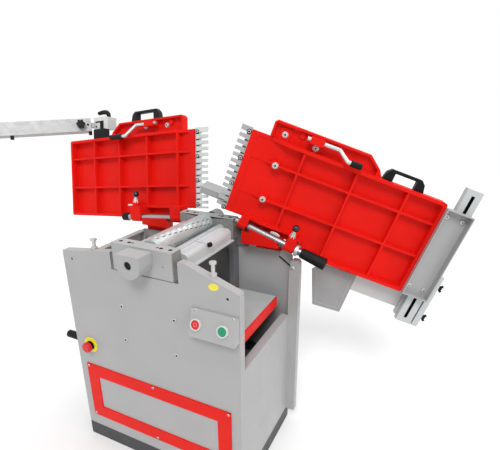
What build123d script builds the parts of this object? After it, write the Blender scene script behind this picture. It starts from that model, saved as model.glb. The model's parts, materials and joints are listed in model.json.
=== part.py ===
from build123d import *
import os
from math import cos, pi, radians, sin, tan

# Planer thicknesser with both planing tables swung open for thicknessing.
# Millimetres. X runs along the tables, -Y faces the operator, Z = 0 is the floor.
# The tables are drawn closed, in their working place, and then swung open about their hinge rods.

# Working heights and the cutterblock
table_z = 870.0
cutter_r = 35.0
cutter_z = table_z - cutter_r
insert_size = 14.0
insert_depth = 3.0
insert_screw_r = 2.8
insert_screw = 0.5
gullet = 5.0
insert_rows = 4
inserts_per_row = 11
row_twist = 70.0
journal_r = 10.0
running_fit = 0.05
part_gap = 0.3

# End blocks that carry the cutterblock
block_inner_y = 166.0
block_half_x = 118.0
block_top_z = table_z - 10.0
block_edge_r = 3.0
block_holes = ((96.0, 6.5), (62.0, 6.5), (48.0, 4.0))
block_hole = 6.0
front_block_depth = 47.0
front_block_bottom = table_z - 103.0
rear_block_depth = 46.0
rear_block_bottom = table_z - 87.0
bearing_r = 21.0
bearing_width = 12.0
cheek_bottom = 480.0
cheek_wall = 20.0
cheek_depth = 42.0

# Sheet-metal stand
panel_half_x = 342.0
panel_y = 215.0
sheet = 3.0
flange = 26.0
stand_bottom = 60.0
front_left_z = table_z - 73.0
front_left_top_z = table_z - 45.0
front_right_top_z = table_z - 34.0
front_right_z = table_z - 97.0
notch_left_x = -126.0
notch_right_x = 136.0
notch_z = front_block_bottom - 2.0
slope_start_x = 161.0
rear_top_z = table_z - 123.0
rear_slope_x = 288.0
rear_right_z = table_z - 182.0
left_side_top = 500.0
right_side_top = 503.0
hood_top = table_z - 118.0
post_width = 36.0
post_depth = 28.0
tray_floor = 6.0
bolt_x = 300.0
bolt_y = 175.0
bolt_hole_r = 7.0
panel_holes = ((-302.0, table_z - 99.0), (303.0, table_z - 117.0))
panel_hole_r = 4.5

# Front fittings
door_half_x = 307.0
door_bottom = 110.0
door_top = 350.0
door_border = 50.0
door_sheet = 4.0
door_screw_inset = 9.0
box_left = 182.0
box_right = 340.0
box_bottom = 618.0
box_top = 701.0
box_top_depth = 6.0
box_depth = 32.0
button_z = 657.0
stop_button_x = 206.0
start_button_x = 297.0
button_r = 14.0
bezel_r = 18.5
bezel_height = 8.0
button_face = 7.0
button_edge_r = 1.0
button_length = 14.0
box_screw_inset = 16.0
box_screw_drop = 4.0
screw_head_r = 4.5
screw_head = 2.5
panel_bolt_r = 8.0
panel_bolt = 2.5
cheek_bolt_xs = (-100.0, 111.0)
cheek_bolt_zs = (506.0, 636.0)
block_screw_x = 84.0
block_screw_z = table_z - 58.0
estop_x = -273.0
estop_z = 436.0
estop_disc_r = 30.0
estop_disc = 3.0
estop_collar_r = 17.0
estop_collar = 5.0
estop_cap_r = 19.0
estop_cap = 15.0
estop_edge_r = 5.0
estop_stem_r = 9.0
estop_travel = 5.0
gland_x = -250.0
gland_z = 160.0
gland_nut_r = 14.0
gland_nut = 12.0
gland_r = 11.0
gland_length = 20.0
gland_hole_r = 5.0
pin_left_x = -212.0
pin_right_x = 246.0
pin_y = -194.0
pin_top = table_z - 19.0
pin_r = 6.0
pin_head_r = 11.0
pin_head = 6.0
pin_nut_r = 11.0
pin_nut = 8.0
cover_r = 45.0
cover_z = cutter_z - 12.0
cover_face_y = -275.0
cover_top = block_top_z - 6.0
cover_wall = 4.0
cover_hole_r = 13.5
shaft_front_gap = 14.0

# Bed between the end blocks
roller_x = 66.0
roller_z = cutter_z - 17.0
roller_r = 18.0
roller_pin_r = 8.0
roller_pin = 12.0
rail_x = -93.0
rail_width = 14.0
rail_top = table_z - 44.0
rail_height = 12.0
beam_inner_x = 90.0
beam_outer_x = 141.0
beam_drop = 27.0
beam_top = table_z - beam_drop
beam_height = 43.0
beam_bottom = beam_top - beam_height
beam_wall = 4.0
beam_round = 16.0
beam_rear_y = 110.0
shelf = 13.0
slider_y = 9.0
slider_length = 130.0
slider_sheet = 2.5
slider_inset = 2.0
slider_drop = 22.0
slider_knob_inset = 8.0
slider_knob_r = 8.0
slider_knob = 11.0
slider_knob_tilt = radians(25.0)
knob_neck_r = 4.0
knob_neck = 2.0
knob_edge_r = 2.0

# Drive at the back
motor_x = 150.0
motor_z = 240.0
motor_r = 75.0
motor_length = 190.0
motor_flange_r = 90.0
motor_flange = 12.0
fin_count = 12
fin_length = 130.0
fin_thickness = 4.0
fin_height = 6.0
terminal_size = 90.0
terminal_height = 36.0
motor_shaft_r = 14.0
shaft_clear = 4.0
motor_pulley_r = 55.0
cutter_pulley_r = 23.0
pulley_width = 24.0
pulley_rim = 3.0
pulley_y = 232.0
belt_thickness = 5.0
belt_side = 1.0
guard_depth = 46.0
guard_clear = 7.0
guard_foot_clear = 21.0
guard_sheet = 2.0

# Thicknessing table and its lift
bed_half_x = 300.0
bed_half_y = 160.0
bed_top = 586.0
bed_depth = 40.0
bed_skin = 14.0
band = 4.0
gib_half_x = 60.0
gib_drop = 60.0
screw_r = 18.0
screw_bottom = 190.0
screw_chamfer = 2.0
bridge_top = 400.0
bridge_thickness = 15.0
bridge_half_y = 50.0
nut_r = 60.0
nut_thickness = 24.0
nut_boss_r = 30.0
nut_boss = 24.0
gear_teeth = 24
tooth_gap = 5.0
tooth_depth = 3.0
pinion_r = 26.0
pinion_x = -44.0
pinion_width = 22.0
crank_z = bridge_top + nut_thickness + pinion_r + 2 * part_gap
crank_shaft_r = 9.0
crank_collar_r = 16.0
crank_collar = 10.0
crank_spacer_r = 14.0
crank_hub_r = 17.0
crank_tip_r = 13.0
crank_pin_r = 7.0
crank_pin_end = 4.0
crank_x = -360.0
crank_arm = 12.0
crank_reach_y = -130.0
crank_drop = 75.0
crank_grip_r = 15.0
crank_grip = 120.0
grip_edge_r = 3.0

# Table castings, drawn closed
skin = 16.0
lip_edge = 18.0
lip_rim = 24.0
rib_depth = 46.0
rib_relief = 4.0
corner_r = 10.0
rim = 12.0
rib = 8.0
front_edge_y = -155.0
rear_edge_y = 203.0
left_hinge_side = 160.0
right_hinge_side = 150.0
lip_thickness = 14.0
lip_half_y = 160.0
finger_pitch = 23.6
finger_gap = 11.0
finger_share = 0.62
lip_screw_r = 6.0
lip_screw_inset = 9.0
lip_screw_head = 4.0
lip_screw_shares = (-0.9, -0.3, 0.3, 0.9)
lip_nose = 4.0
apron_y = -215.0
apron_depth = 28.0
apron_over_pin = pin_top + part_gap
apron_rim = 8.0
apron_skin = 10.0
apron_corner = 9.0
apron_tail = 24.0
apron_run = 16.0

left_lip_tip = -32.0
left_lip_reach = 54.0
left_end_x = -848.0
left_taper = (-112.0, -190.0)
left_relief_x = -394.0
left_ribs_x = (-164.0, -332.0, -506.0, -676.0)
left_ribs_y = (-67.0, 69.0)
left_apron = (-138.0, -514.0, -560.0)
left_handle = (-440.0, -270.0)
left_bolts = ((-363.0, -188.0), (-240.0, -184.0))

right_lip_tip = 36.0
right_lip_reach = 40.0
right_end_x = 792.0
right_taper = (152.0, 214.0)
right_relief_x = 368.0
right_ribs_x = (274.0, 467.0, 655.0)
right_ribs_y = (-70.0, 58.0)
right_apron = (140.0, 487.0, 534.0)
right_handle = (553.0, 705.0)
right_bolts = ((187.0, -176.0), (302.0, -169.0))
right_rib_bolts_x = 192.0
bolt_boss_half = 14.0
bolt_plate = (20.0, 22.0, 4.0)

# Hinges: each rod lies in a plane of constant Y and falls away outwards
left_hinge_y = 199.7
left_hinge_z = table_z - 31.9
left_fall = 6.0
left_open = 103.3
right_hinge_y = 175.9
right_hinge_z = table_z + 28.4
right_fall = 18.5
right_open = 96.8
rod_r = 14.0
rod_step = 5.0
ear_r = 19.0
left_ears = ((-128.0, -178.0), (-333.0, -384.0))
left_rod = (-122.0, -404.0)
left_flap = (-182.0, -329.0, 199.0)
right_ears = ((142.0, 174.0), (326.0, 358.0))
right_flap = (200.0, 322.0, 168.0)
right_rod_start = 128.0
bracket_wall = 12.0
bracket_bottom = rear_top_z - 57.0
bracket_front = 18.0
saddle_bottom = table_z - 94.0
saddle_gap = 3.0
left_bracket = (-326.0, -200.0)
right_bracket = (190.0, 300.0)
right_saddle_foot = 158.0
collar_r = 21.0
collar_width = 10.0
collar_clear = 3.0
depth_travel = 9.5
grip_r = 22.0
grip_length = 90.0
grip_wall = 20.0
cap_r = 17.0
cap_length = 34.0

# Fittings on the tables
handle_post = 36.0
handle_taper = 22.0
handle_height = 41.0
handle_bar = 11.0
handle_depth = 22.0
handle_sink = 2.0
handle_edge_r = 2.5
lever_r = 7.0
lever_y = -194.0
lever_z = table_z - 38.0
lever_drop = 30.0
lever_end = 12.0
lever_lug = 48.0
lever_lug_half = 12.0
lever_edge_r = 3.0
left_lever = (-278.0, -396.0, -432.0, -526.0)
left_lever_inset = 47.0
left_lever_grip = 76.0
right_lever = (262.0, 379.0, 414.0, 464.0)
right_lever_inset = 24.0
right_lever_grip = 40.0
lever_grip_r = 11.0
plunger_r = 6.0
plunger_ball_r = 13.0
plunger_stem = 30.0
plunger_sleeve_y = 134.0
plunger_side = 9.0
plunger_block = 42.0
left_plunger_x = -371.0
right_plunger_x = 338.0
plunger_nose = 8.0
plunger_sleeve_r = 11.0
bolt_head_r = 9.0
bolt_head = 7.0

# End channel, guide bar and fence
channel_sheet = 4.0
channel_width = 98.0
channel_depth = 34.0
channel_front_y = -142.0
channel_rear_y = 200.0
channel_screw_x = 20.0
channel_screw_y = 30.0
channel_screw_r = 7.0
channel_screw = 5.0
channel_drop = 30.0
channel_top = table_z - channel_drop
bar_x = right_end_x + 70.0
bar_width = 58.0
bar_height = 26.0
bar_front_y = -226.0
bar_rear_y = 320.0
slot_width = 12.0
slot_depth = 16.0
slot_end = 20.0
carriage_front_y = 130.0
carriage_height = 18.0
carriage_lap = 6.0
carriage_end = 10.0
clamp_width = 22.0
clamp_front_y = 100.0
groove = 8.0
groove_depth = 5.0
clamp_knob_ys = (149.0, 282.0)
clamp_knob_r = 14.0
clamp_knob_length = 20.0
clamp_knob_hub_r = 7.0
clamp_knob_neck = 9.0
clamp_wings = 3
clamp_wing_r = 5.0
fence_y = 105.0
fence_left_x = -36.0
fence_lift = 4.0
fence_height = 102.0
fence_thickness = 24.0
fence_wall = 3.0
fence_cavities = 3
fence_plate = 5.0
fence_plate_x = 480.0
fence_plate_rear_y = 285.0
fence_pivot_r = 4.0
fence_lug_r = 6.5
fence_pivot_gap = 7.0
fence_pivot_lift = 2.0
lug_half = 10.0
lug_web = 4.0
fence_base_gap = 2.0
fence_lugs_x = (570.0, 750.0)
cover_sheet = 3.0
rear_cover = ((464.0, 258.0), (490.0, 225.0), (632.0, 221.0), (634.0, 390.0), (523.0, 398.0))

# Bridge guard on the left table: its holder turns on a post, and the arm folds on the holder
post_x = -662.0
post_half_x = 38.0
post_foot = 24.0
post_foot_y = -203.0
post_plate = 10.0
post_top = table_z + 66.0
pivot_r = 11.0
guard_y = -235.0
holder_x = (-721.0, -634.0)
holder_half_y = 27.0
holder_lift = 6.0
holder_height = 50.0
fold_at = (-754.0, -237.5, table_z + 42.0)
fold_turn = 10.5
fold_angle = 50.3
fold_pin_r = 5.0
fork_r = 13.0
fork_gap = 10.0
fork_wall = 9.0
fork_root = 44.0
arm_gap = 30.0
arm_length = 880.0
arm_width = 62.0
arm_depth = 41.0
arm_wall = 3.0
guard_knob_at = 45.0
guard_knob_r = 20.0
guard_knob = 25.0
guard_knob_neck = 8.0
guard_lobes = 6
guard_lobe_r = 6.0
guard_lever_x = -652.0
guard_lever_r = 7.0
guard_lever_stem = 14.0
guard_lever_blade = (-66.0, 9.0)
guard_lever_blade_depth = 14.0
guard_lever_width = 16.0
guard_lever_lift = 18.0
guard_feet_at = (39.0, 382.0)
guard_foot_r = 8.0
guard_foot = 14.0


def box(x0, x1, y0, y1, z0, z1, mode=Mode.ADD):
    """Block between two corners."""
    with Locations(((x0 + x1) / 2, (y0 + y1) / 2, (z0 + z1) / 2)):
        Box(abs(x1 - x0), abs(y1 - y0), abs(z1 - z0), mode=mode)


def cyl(start, end, radius, mode=Mode.ADD):
    """Round bar between two points."""
    span = Vector(end) - Vector(start)
    with Locations(Plane(origin=start, z_dir=span)):
        Cylinder(radius, span.length, align=(Align.CENTER, Align.CENTER, Align.MIN), mode=mode)


def prism(points, plane, depth, mode=Mode.ADD):
    """Straight-sided outline on a plane, drawn out along the plane's normal."""
    with BuildSketch(plane, mode=Mode.PRIVATE) as outline:
        with BuildLine():
            Polyline(*points, close=True)
        make_face()
    extrude(outline.sketch, amount=depth, mode=mode)


def rounded_bar(x0, x1, y0, y1, z0, z1, radius, mode=Mode.ADD):
    """Bar along Y with its top right edge rounded."""
    with BuildSketch(front_plane(y0), mode=Mode.PRIVATE) as face:
        with Locations(((x0 + x1) / 2, (z0 + z1) / 2)):
            Rectangle(x1 - x0, z1 - z0)
        fillet(face.vertices().group_by(Axis.X)[-1].sort_by(Axis.Y)[-1], radius)
    extrude(face.sketch, amount=y0 - y1, mode=mode)


def save(pieces, name, swing=None):
    """Write one piece, or a group of like pieces, swung open with its table where it rides one."""
    group = pieces if isinstance(pieces, list) else [pieces]
    solids = [solid for piece in group for solid in piece.part.solids()]
    node = Compound(solids) if len(solids) > 1 else group[0].part
    placed = node if swing is None else node.rotate(*swing)
    placed.label = name
    export_step(placed, f"parts/{name}.step")


def left_rod_at(x):
    """Point on the left hinge axis above a closed X position."""
    return (x, left_hinge_y, left_hinge_z - abs(x) * tan(radians(left_fall)))


def right_rod_at(x):
    """Point on the right hinge axis above a closed X position."""
    return (x, right_hinge_y, right_hinge_z - abs(x) * tan(radians(right_fall)))


def front_plane(y):
    """Drawing plane facing the operator: x to the right, y up."""
    return Plane.XZ.offset(-y)


left_along = (-cos(radians(left_fall)), 0, -sin(radians(left_fall)))
right_along = (-cos(radians(right_fall)), 0, sin(radians(right_fall)))
left_axis = Axis((0, left_hinge_y, left_hinge_z), left_along)
right_axis = Axis((0, right_hinge_y, right_hinge_z), right_along)
left_swing = (left_axis, left_open)
right_swing = (right_axis, right_open)
inner_y = panel_y - sheet
side_in_x = panel_half_x - sheet
front_block_y = -block_inner_y - front_block_depth
rear_block_y = block_inner_y + rear_block_depth
underside = table_z - rib_depth
shallow_z = table_z - lip_edge

os.makedirs("parts", exist_ok=True)

# Front panel: sloping shoulders, a notch for the end block, turned-in edges
with BuildPart() as front_panel:
    shoulders = [
        (-panel_half_x, stand_bottom),
        (panel_half_x, stand_bottom),
        (panel_half_x, front_right_z),
        (slope_start_x, front_right_top_z),
        (notch_right_x, front_right_top_z),
        (notch_right_x, notch_z),
        (notch_left_x, notch_z),
        (notch_left_x, front_left_top_z),
        (-panel_half_x, front_left_z),
    ]
    prism(shoulders, front_plane(-panel_y), -sheet)
    left_slope = [(-panel_half_x, front_left_z), (notch_left_x, front_left_top_z)]
    right_slope = [(slope_start_x, front_right_top_z), (panel_half_x, front_right_z)]
    top_flat = [(notch_right_x, front_right_top_z), (slope_start_x, front_right_top_z)]
    for (x0, z0), (x1, z1) in (left_slope, top_flat, right_slope):
        strip = [(x0, z0), (x1, z1), (x1, z1 - sheet), (x0, z0 - sheet)]
        prism(strip, front_plane(-panel_y), -sheet - flange)
    box(-panel_half_x, -side_in_x, -inner_y, -inner_y + flange, stand_bottom, front_left_z - sheet / 2)
    box(side_in_x, panel_half_x, -inner_y, -inner_y + flange, stand_bottom, front_right_z - sheet / 2)
    for x, z in panel_holes:
        cyl((x, -panel_y - 1, z), (x, -inner_y + 1, z), panel_hole_r, Mode.SUBTRACT)
save(front_panel, "front_panel")

# Rear panel with a sloping right shoulder and a hole for the motor shaft
with BuildPart() as rear_panel:
    rear_outline = [
        (-panel_half_x, stand_bottom),
        (panel_half_x, stand_bottom),
        (panel_half_x, rear_right_z),
        (rear_slope_x, rear_top_z),
        (-panel_half_x, rear_top_z),
    ]
    prism(rear_outline, front_plane(panel_y), sheet)
    box(-panel_half_x, -side_in_x, inner_y - flange, inner_y, stand_bottom, rear_top_z)
    box(side_in_x, panel_half_x, inner_y - flange, inner_y, stand_bottom, rear_right_z)
    motor_hole = (motor_x, inner_y - 1, motor_z)
    cyl(motor_hole, (motor_x, panel_y + 1, motor_z), motor_shaft_r + shaft_clear, Mode.SUBTRACT)

# Side panels close the stand below the thicknesser passage
side_end_y = inner_y - flange
side_panels = []
for side, top in ((-1, left_side_top), (1, right_side_top)):
    with BuildPart() as side_panel:
        box(side * side_in_x, side * panel_half_x, -side_end_y, side_end_y, stand_bottom, top)
        box(side * (side_in_x - flange), side * side_in_x, -side_end_y, side_end_y, top - sheet, top)
        if side < 0:
            start = (-panel_half_x - 1, 0, crank_z)
            cyl(start, (-side_in_x + 1, 0, crank_z), crank_shaft_r + running_fit, Mode.SUBTRACT)
    side_panels.append(side_panel)

# Rear post at the right corner
with BuildPart() as rear_post:
    post_end = panel_half_x + post_width
    box(panel_half_x, post_end, panel_y - post_depth, panel_y, stand_bottom, rear_right_z)
    inside_end = post_end - sheet
    inside_y = panel_y - post_depth + sheet
    inside_top = rear_right_z - sheet
    box(panel_half_x + sheet, inside_end, inside_y, inner_y, stand_bottom, inside_top, Mode.SUBTRACT)

# Hood that catches the chips on the outfeed side, standing on the left side panel's flange
with BuildPart() as chip_hood:
    hood_x = side_in_x - flange
    hood_y = left_hinge_y - bracket_front - sheet
    box(-side_in_x, -hood_x, -hood_y, hood_y, left_side_top, hood_top)
    in_x = side_in_x - sheet
    in_y = hood_y - sheet
    in_top = hood_top - sheet
    box(-in_x, -hood_x + sheet, -in_y, in_y, left_side_top + sheet, in_top, Mode.SUBTRACT)
save([rear_panel, *side_panels, rear_post, chip_hood], "rear_and_side_panels")

# Base tray that stands on the floor, with holes for floor bolts
with BuildPart() as base_tray:
    box(-panel_half_x, panel_half_x, -panel_y, panel_y, 0, stand_bottom)
    wall_x = panel_half_x - tray_floor
    wall_y = panel_y - tray_floor
    box(-wall_x, wall_x, -wall_y, wall_y, tray_floor, stand_bottom, Mode.SUBTRACT)
    for x in (-bolt_x, bolt_x):
        for y in (-bolt_y, bolt_y):
            cyl((x, y, -1), (x, y, tray_floor + 1), bolt_hole_r, Mode.SUBTRACT)
save(base_tray, "base_tray")

# Red frame round the door in the front panel
door_face_y = -panel_y - door_sheet
with BuildPart() as door_frame:
    box(-door_half_x, door_half_x, door_face_y, -panel_y, door_bottom, door_top)
    inset_x = door_half_x - door_border
    inset_bottom = door_bottom + door_border
    inset_top = door_top - door_border
    box(-inset_x, inset_x, door_face_y, -panel_y, inset_bottom, inset_top, Mode.SUBTRACT)
save(door_frame, "door_frame")

# Control box with a sloping face, its two white bezels and the push buttons
box_slope = (box_depth - box_top_depth) / (box_top - box_bottom)
box_normal = Vector(0, -1, box_slope).normalized()


def box_face(x, z, proud=0.0):
    """Point on the sloping face of the control box, or proud of it along its normal."""
    face_y = -panel_y - box_depth + box_slope * (z - box_bottom)
    return Vector(x, face_y, z) + box_normal * proud


with BuildPart() as control_box:
    for x0, x1, inset, mode in (
        (box_left, box_right, 0.0, Mode.ADD),
        (box_left + sheet, box_right - sheet, sheet, Mode.SUBTRACT),
    ):
        top = box_top - inset
        bottom = box_bottom + inset
        wedge = [
            (-panel_y, bottom),
            (box_face(0, bottom).Y + inset, bottom),
            (box_face(0, top).Y + inset, top),
            (-panel_y, top),
        ]
        prism(wedge, Plane.YZ.offset(x0), x1 - x0, mode)
    for x in (stop_button_x, start_button_x):
        inside = box_face(x, button_z, -2 * sheet)
        cyl(box_face(x, button_z, 1), inside, button_r + part_gap, Mode.SUBTRACT)

with BuildPart() as button_bezels:
    for x in (stop_button_x, start_button_x):
        cyl(box_face(x, button_z), box_face(x, button_z, bezel_height), bezel_r)
        outside = box_face(x, button_z, bezel_height + 1)
        cyl(box_face(x, button_z, -1), outside, button_r + part_gap, Mode.SUBTRACT)
save([control_box, button_bezels], "control_box")

for x, name in ((stop_button_x, "stop_button"), (start_button_x, "start_button")):
    with BuildPart() as push_button:
        cyl(box_face(x, button_z, button_face - button_length), box_face(x, button_z, button_face), button_r)
        outwards = Axis(box_face(x, button_z), box_normal)
        fillet(push_button.edges().group_by(outwards)[-1], button_edge_r)
    save(push_button, name)

# Emergency stop: yellow disc, black collar, red mushroom cap
with BuildPart() as estop_base:
    collar_face_y = -panel_y - estop_disc - estop_collar
    cyl((estop_x, -panel_y, estop_z), (estop_x, -panel_y - estop_disc, estop_z), estop_disc_r)
    cyl((estop_x, -panel_y - estop_disc, estop_z), (estop_x, collar_face_y, estop_z), estop_collar_r)
    stem_hole = (estop_x, collar_face_y - 1, estop_z)
    cyl(stem_hole, (estop_x, -panel_y, estop_z), estop_stem_r + part_gap, Mode.SUBTRACT)
save(estop_base, "estop_base")

with BuildPart() as estop_cap_piece:
    cap_back_y = collar_face_y - estop_travel - 1
    cyl((estop_x, cap_back_y, estop_z), (estop_x, cap_back_y - estop_cap, estop_z), estop_cap_r)
    fillet(estop_cap_piece.edges().group_by(Axis.Y)[0], estop_edge_r)
    stem_end_y = -panel_y - estop_travel - part_gap
    cyl((estop_x, cap_back_y, estop_z), (estop_x, stem_end_y, estop_z), estop_stem_r)
save(estop_cap_piece, "estop_cap")

# Bolt and screw heads on the front
door_screw_xs = (-door_half_x + door_screw_inset, 0.0, door_half_x - door_screw_inset)
door_screw_zs = (door_bottom + door_screw_inset, door_top - door_screw_inset)
with BuildPart() as front_screws:
    for x in cheek_bolt_xs:
        for z in cheek_bolt_zs:
            cyl((x, -panel_y, z), (x, -panel_y - panel_bolt, z), panel_bolt_r)
    for x in door_screw_xs:
        for z in door_screw_zs:
            cyl((x, door_face_y, z), (x, door_face_y - screw_head, z), screw_head_r)
    for x in (box_left + box_screw_inset, box_right - box_screw_inset):
        z = box_top - box_screw_drop
        cyl(box_face(x, z), box_face(x, z, screw_head), screw_head_r)
    block_screw = (block_screw_x, front_block_y, block_screw_z)
    cyl(block_screw, (block_screw_x, front_block_y - screw_head, block_screw_z), screw_head_r)
save(front_screws, "front_screws")

# Cable gland in the rear panel, where a mains lead would enter
with BuildPart() as cable_gland:
    nut_y = panel_y + gland_nut
    gland_y = nut_y + gland_length
    cyl((gland_x, panel_y, gland_z), (gland_x, nut_y, gland_z), gland_nut_r)
    cyl((gland_x, nut_y, gland_z), (gland_x, gland_y, gland_z), gland_r)
    cyl((gland_x, nut_y, gland_z), (gland_x, gland_y + 1, gland_z), gland_hole_r, Mode.SUBTRACT)
save(cable_gland, "cable_gland")


def shoulder_z(x):
    """Height of the front panel's sloping edge."""
    if x < 0:
        rise = (front_left_top_z - front_left_z) / (panel_half_x + notch_left_x)
        return front_left_z + rise * (x + panel_half_x)
    fall = (front_right_top_z - front_right_z) / (panel_half_x - slope_start_x)
    return front_right_top_z - fall * (x - slope_start_x)


# Stop pins that the closed tables rest on
with BuildPart() as stop_pins:
    for x in (pin_left_x, pin_right_x):
        seat = shoulder_z(x)
        cyl((x, pin_y, seat - 2 * pin_r), (x, pin_y, pin_top - pin_head), pin_r)
        cyl((x, pin_y, pin_top - pin_head), (x, pin_y, pin_top), pin_head_r)
        cyl((x, pin_y, seat - sheet - pin_nut), (x, pin_y, seat + pin_nut), pin_nut_r)
    for (x0, z0), (x1, z1) in (left_slope, right_slope):
        strip = [(x0, z0), (x1, z1), (x1, z1 - sheet), (x0, z0 - sheet)]
        prism(strip, front_plane(-panel_y), -sheet - flange, Mode.SUBTRACT)
save(stop_pins, "stop_pins")

# Cheeks behind the front and rear panels carry the end blocks
cheeks = []
for side, top in ((-1, front_block_bottom), (1, rear_block_bottom)):
    with BuildPart() as cheek:
        outer = side * inner_y
        inner = side * (inner_y - cheek_depth)
        box(-block_half_x, block_half_x, outer, inner, cheek_bottom, top)
        pocket_x = block_half_x - cheek_wall
        pocket_y = side * (inner_y - cheek_depth + cheek_wall)
        box(-pocket_x, pocket_x, pocket_y, inner, cheek_bottom, top - cheek_wall * 2, Mode.SUBTRACT)
    cheeks.append(cheek)

# End blocks with bores for the cutter bearings and feed rollers
blocks = (
    (front_block_y, -block_inner_y, front_block_bottom),
    (block_inner_y, rear_block_y, rear_block_bottom),
)
end_blocks = []
for y0, y1, bottom in blocks:
    inner = y0 if y0 > 0 else y1
    outer = y1 if y0 > 0 else y0
    side = 1 if y0 > 0 else -1
    with BuildPart() as end_block:
        box(-block_half_x, block_half_x, y0, y1, bottom, block_top_z)
        fillet(end_block.edges().filter_by(Axis.Z), block_edge_r)
        cyl((0, inner - side, cutter_z), (0, outer + side, cutter_z), journal_r + shaft_clear, Mode.SUBTRACT)
        seat_y = inner + side * bearing_width
        cyl((0, inner - side, cutter_z), (0, seat_y, cutter_z), bearing_r + running_fit, Mode.SUBTRACT)
        for x in (-roller_x, roller_x):
            pin_end = inner + side * (roller_pin + 1)
            start = (x, inner - side, roller_z)
            cyl(start, (x, pin_end, roller_z), roller_pin_r + running_fit, Mode.SUBTRACT)
        middle_y = (y0 + y1) / 2
        for x, hole_r in block_holes:
            for hole_x in (-x, x):
                start = (hole_x, middle_y, block_top_z - block_hole)
                cyl(start, (hole_x, middle_y, block_top_z + 1), hole_r, Mode.SUBTRACT)
    end_blocks.append(end_block)
save(end_blocks, "end_blocks")

# D-shaped cover over the front end of the cutter shaft
with BuildPart() as bearing_cover:
    for radius, top, back_y, mode in (
        (cover_r, cover_top, front_block_y, Mode.ADD),
        (cover_r - cover_wall, cover_top - cover_wall, front_block_y + 1, Mode.SUBTRACT),
    ):
        face_y = cover_face_y if mode == Mode.ADD else cover_face_y + cover_wall
        with BuildSketch(front_plane(face_y), mode=Mode.PRIVATE) as d_shape:
            with Locations((0, cover_z)):
                Circle(radius)
            with Locations((0, (cover_z + top) / 2)):
                Rectangle(2 * radius, top - cover_z)
            with Locations((0, top + radius)):
                Rectangle(2 * radius, 2 * radius, mode=Mode.SUBTRACT)
        extrude(d_shape.sketch, amount=face_y - back_y, mode=mode)
    behind = (0, cover_face_y + cover_wall + 1, cover_z)
    cyl((0, cover_face_y - 1, cover_z), behind, cover_hole_r, Mode.SUBTRACT)
save(bearing_cover, "bearing_cover")

with BuildPart() as cutter_bearings:
    for side in (-1, 1):
        inner = (0, side * block_inner_y, cutter_z)
        outer = (0, side * (block_inner_y + bearing_width), cutter_z)
        cyl(inner, outer, bearing_r)
        cyl(inner, outer, journal_r + running_fit, Mode.SUBTRACT)
save(cutter_bearings, "cutter_bearings")

# Cutterblock with square carbide inserts on shallow spirals
body_r = cutter_r - 1
pocket_r = cutter_r - insert_depth
body_half_y = block_inner_y - 2
insert_pitch = (2 * body_half_y - 2 * insert_size) / inserts_per_row


def insert_planes():
    """One plane per insert, on the pocket floor and facing outwards."""
    planes = []
    for row in range(insert_rows):
        for step in range(inserts_per_row):
            share = (step + 0.5) / inserts_per_row
            turn = radians(360.0 * row / insert_rows + row_twist * share)
            y = (step + 0.5 - inserts_per_row / 2) * insert_pitch
            out = (sin(turn), 0, cos(turn))
            floor = (out[0] * pocket_r, y, cutter_z + out[2] * pocket_r)
            planes.append(Plane(origin=floor, x_dir=(0, 1, 0), z_dir=out))
    return planes


base = (Align.CENTER, Align.CENTER, Align.MIN)
shaft_front_y = cover_face_y + cover_wall + shaft_front_gap
shaft_rear_y = pulley_y + pulley_width
with BuildPart() as cutterblock:
    cyl((0, -body_half_y, cutter_z), (0, body_half_y, cutter_z), body_r)
    cyl((0, shaft_front_y, cutter_z), (0, shaft_rear_y, cutter_z), journal_r)
    pocket = insert_size + 2 * part_gap
    with Locations(*insert_planes()):
        Box(pocket, pocket + gullet, 2 * insert_depth, align=base, mode=Mode.SUBTRACT)
save(cutterblock, "cutterblock")

with BuildPart() as cutter_inserts:
    with Locations(*insert_planes()):
        Box(insert_size, insert_size, insert_depth - insert_screw, align=base)
        Cylinder(insert_screw_r, insert_depth, align=base)
save(cutter_inserts, "cutter_inserts")

# Belt drive from the motor to the cutter shaft
pulleys = (
    (0.0, cutter_z, cutter_pulley_r, journal_r, "cutter_pulley"),
    (motor_x, motor_z, motor_pulley_r, motor_shaft_r, "motor_pulley"),
)
channel_y0 = pulley_y + pulley_rim
channel_y1 = pulley_y + pulley_width - pulley_rim
for x, z, radius, bore, name in pulleys:
    with BuildPart() as pulley:
        cyl((x, pulley_y, z), (x, pulley_y + pulley_width, z), radius)
        cyl((x, channel_y0, z), (x, channel_y1, z), radius + 1, Mode.SUBTRACT)
        cyl((x, channel_y0, z), (x, channel_y1, z), radius - belt_thickness)
        if name == "cutter_pulley":
            cyl((x, pulley_y - 1, z), (x, pulley_y + pulley_width + 1, z), bore, Mode.SUBTRACT)
        else:
            cyl((x, inner_y - motor_flange, z), (x, pulley_y, z), bore)
    save(pulley, name)

# Flat belt round both pulleys
with BuildPart() as drive_belt:
    for extra, mode in ((belt_thickness, Mode.ADD), (part_gap, Mode.SUBTRACT)):
        with BuildSketch(front_plane(channel_y1 - belt_side), mode=Mode.PRIVATE) as loop:
            with Locations((0, cutter_z)):
                Circle(cutter_pulley_r - belt_thickness + extra)
            with Locations((motor_x, motor_z)):
                Circle(motor_pulley_r - belt_thickness + extra)
            make_hull()
        extrude(loop.sketch, amount=channel_y1 - channel_y0 - 2 * belt_side, mode=mode)
save(drive_belt, "drive_belt")

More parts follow.
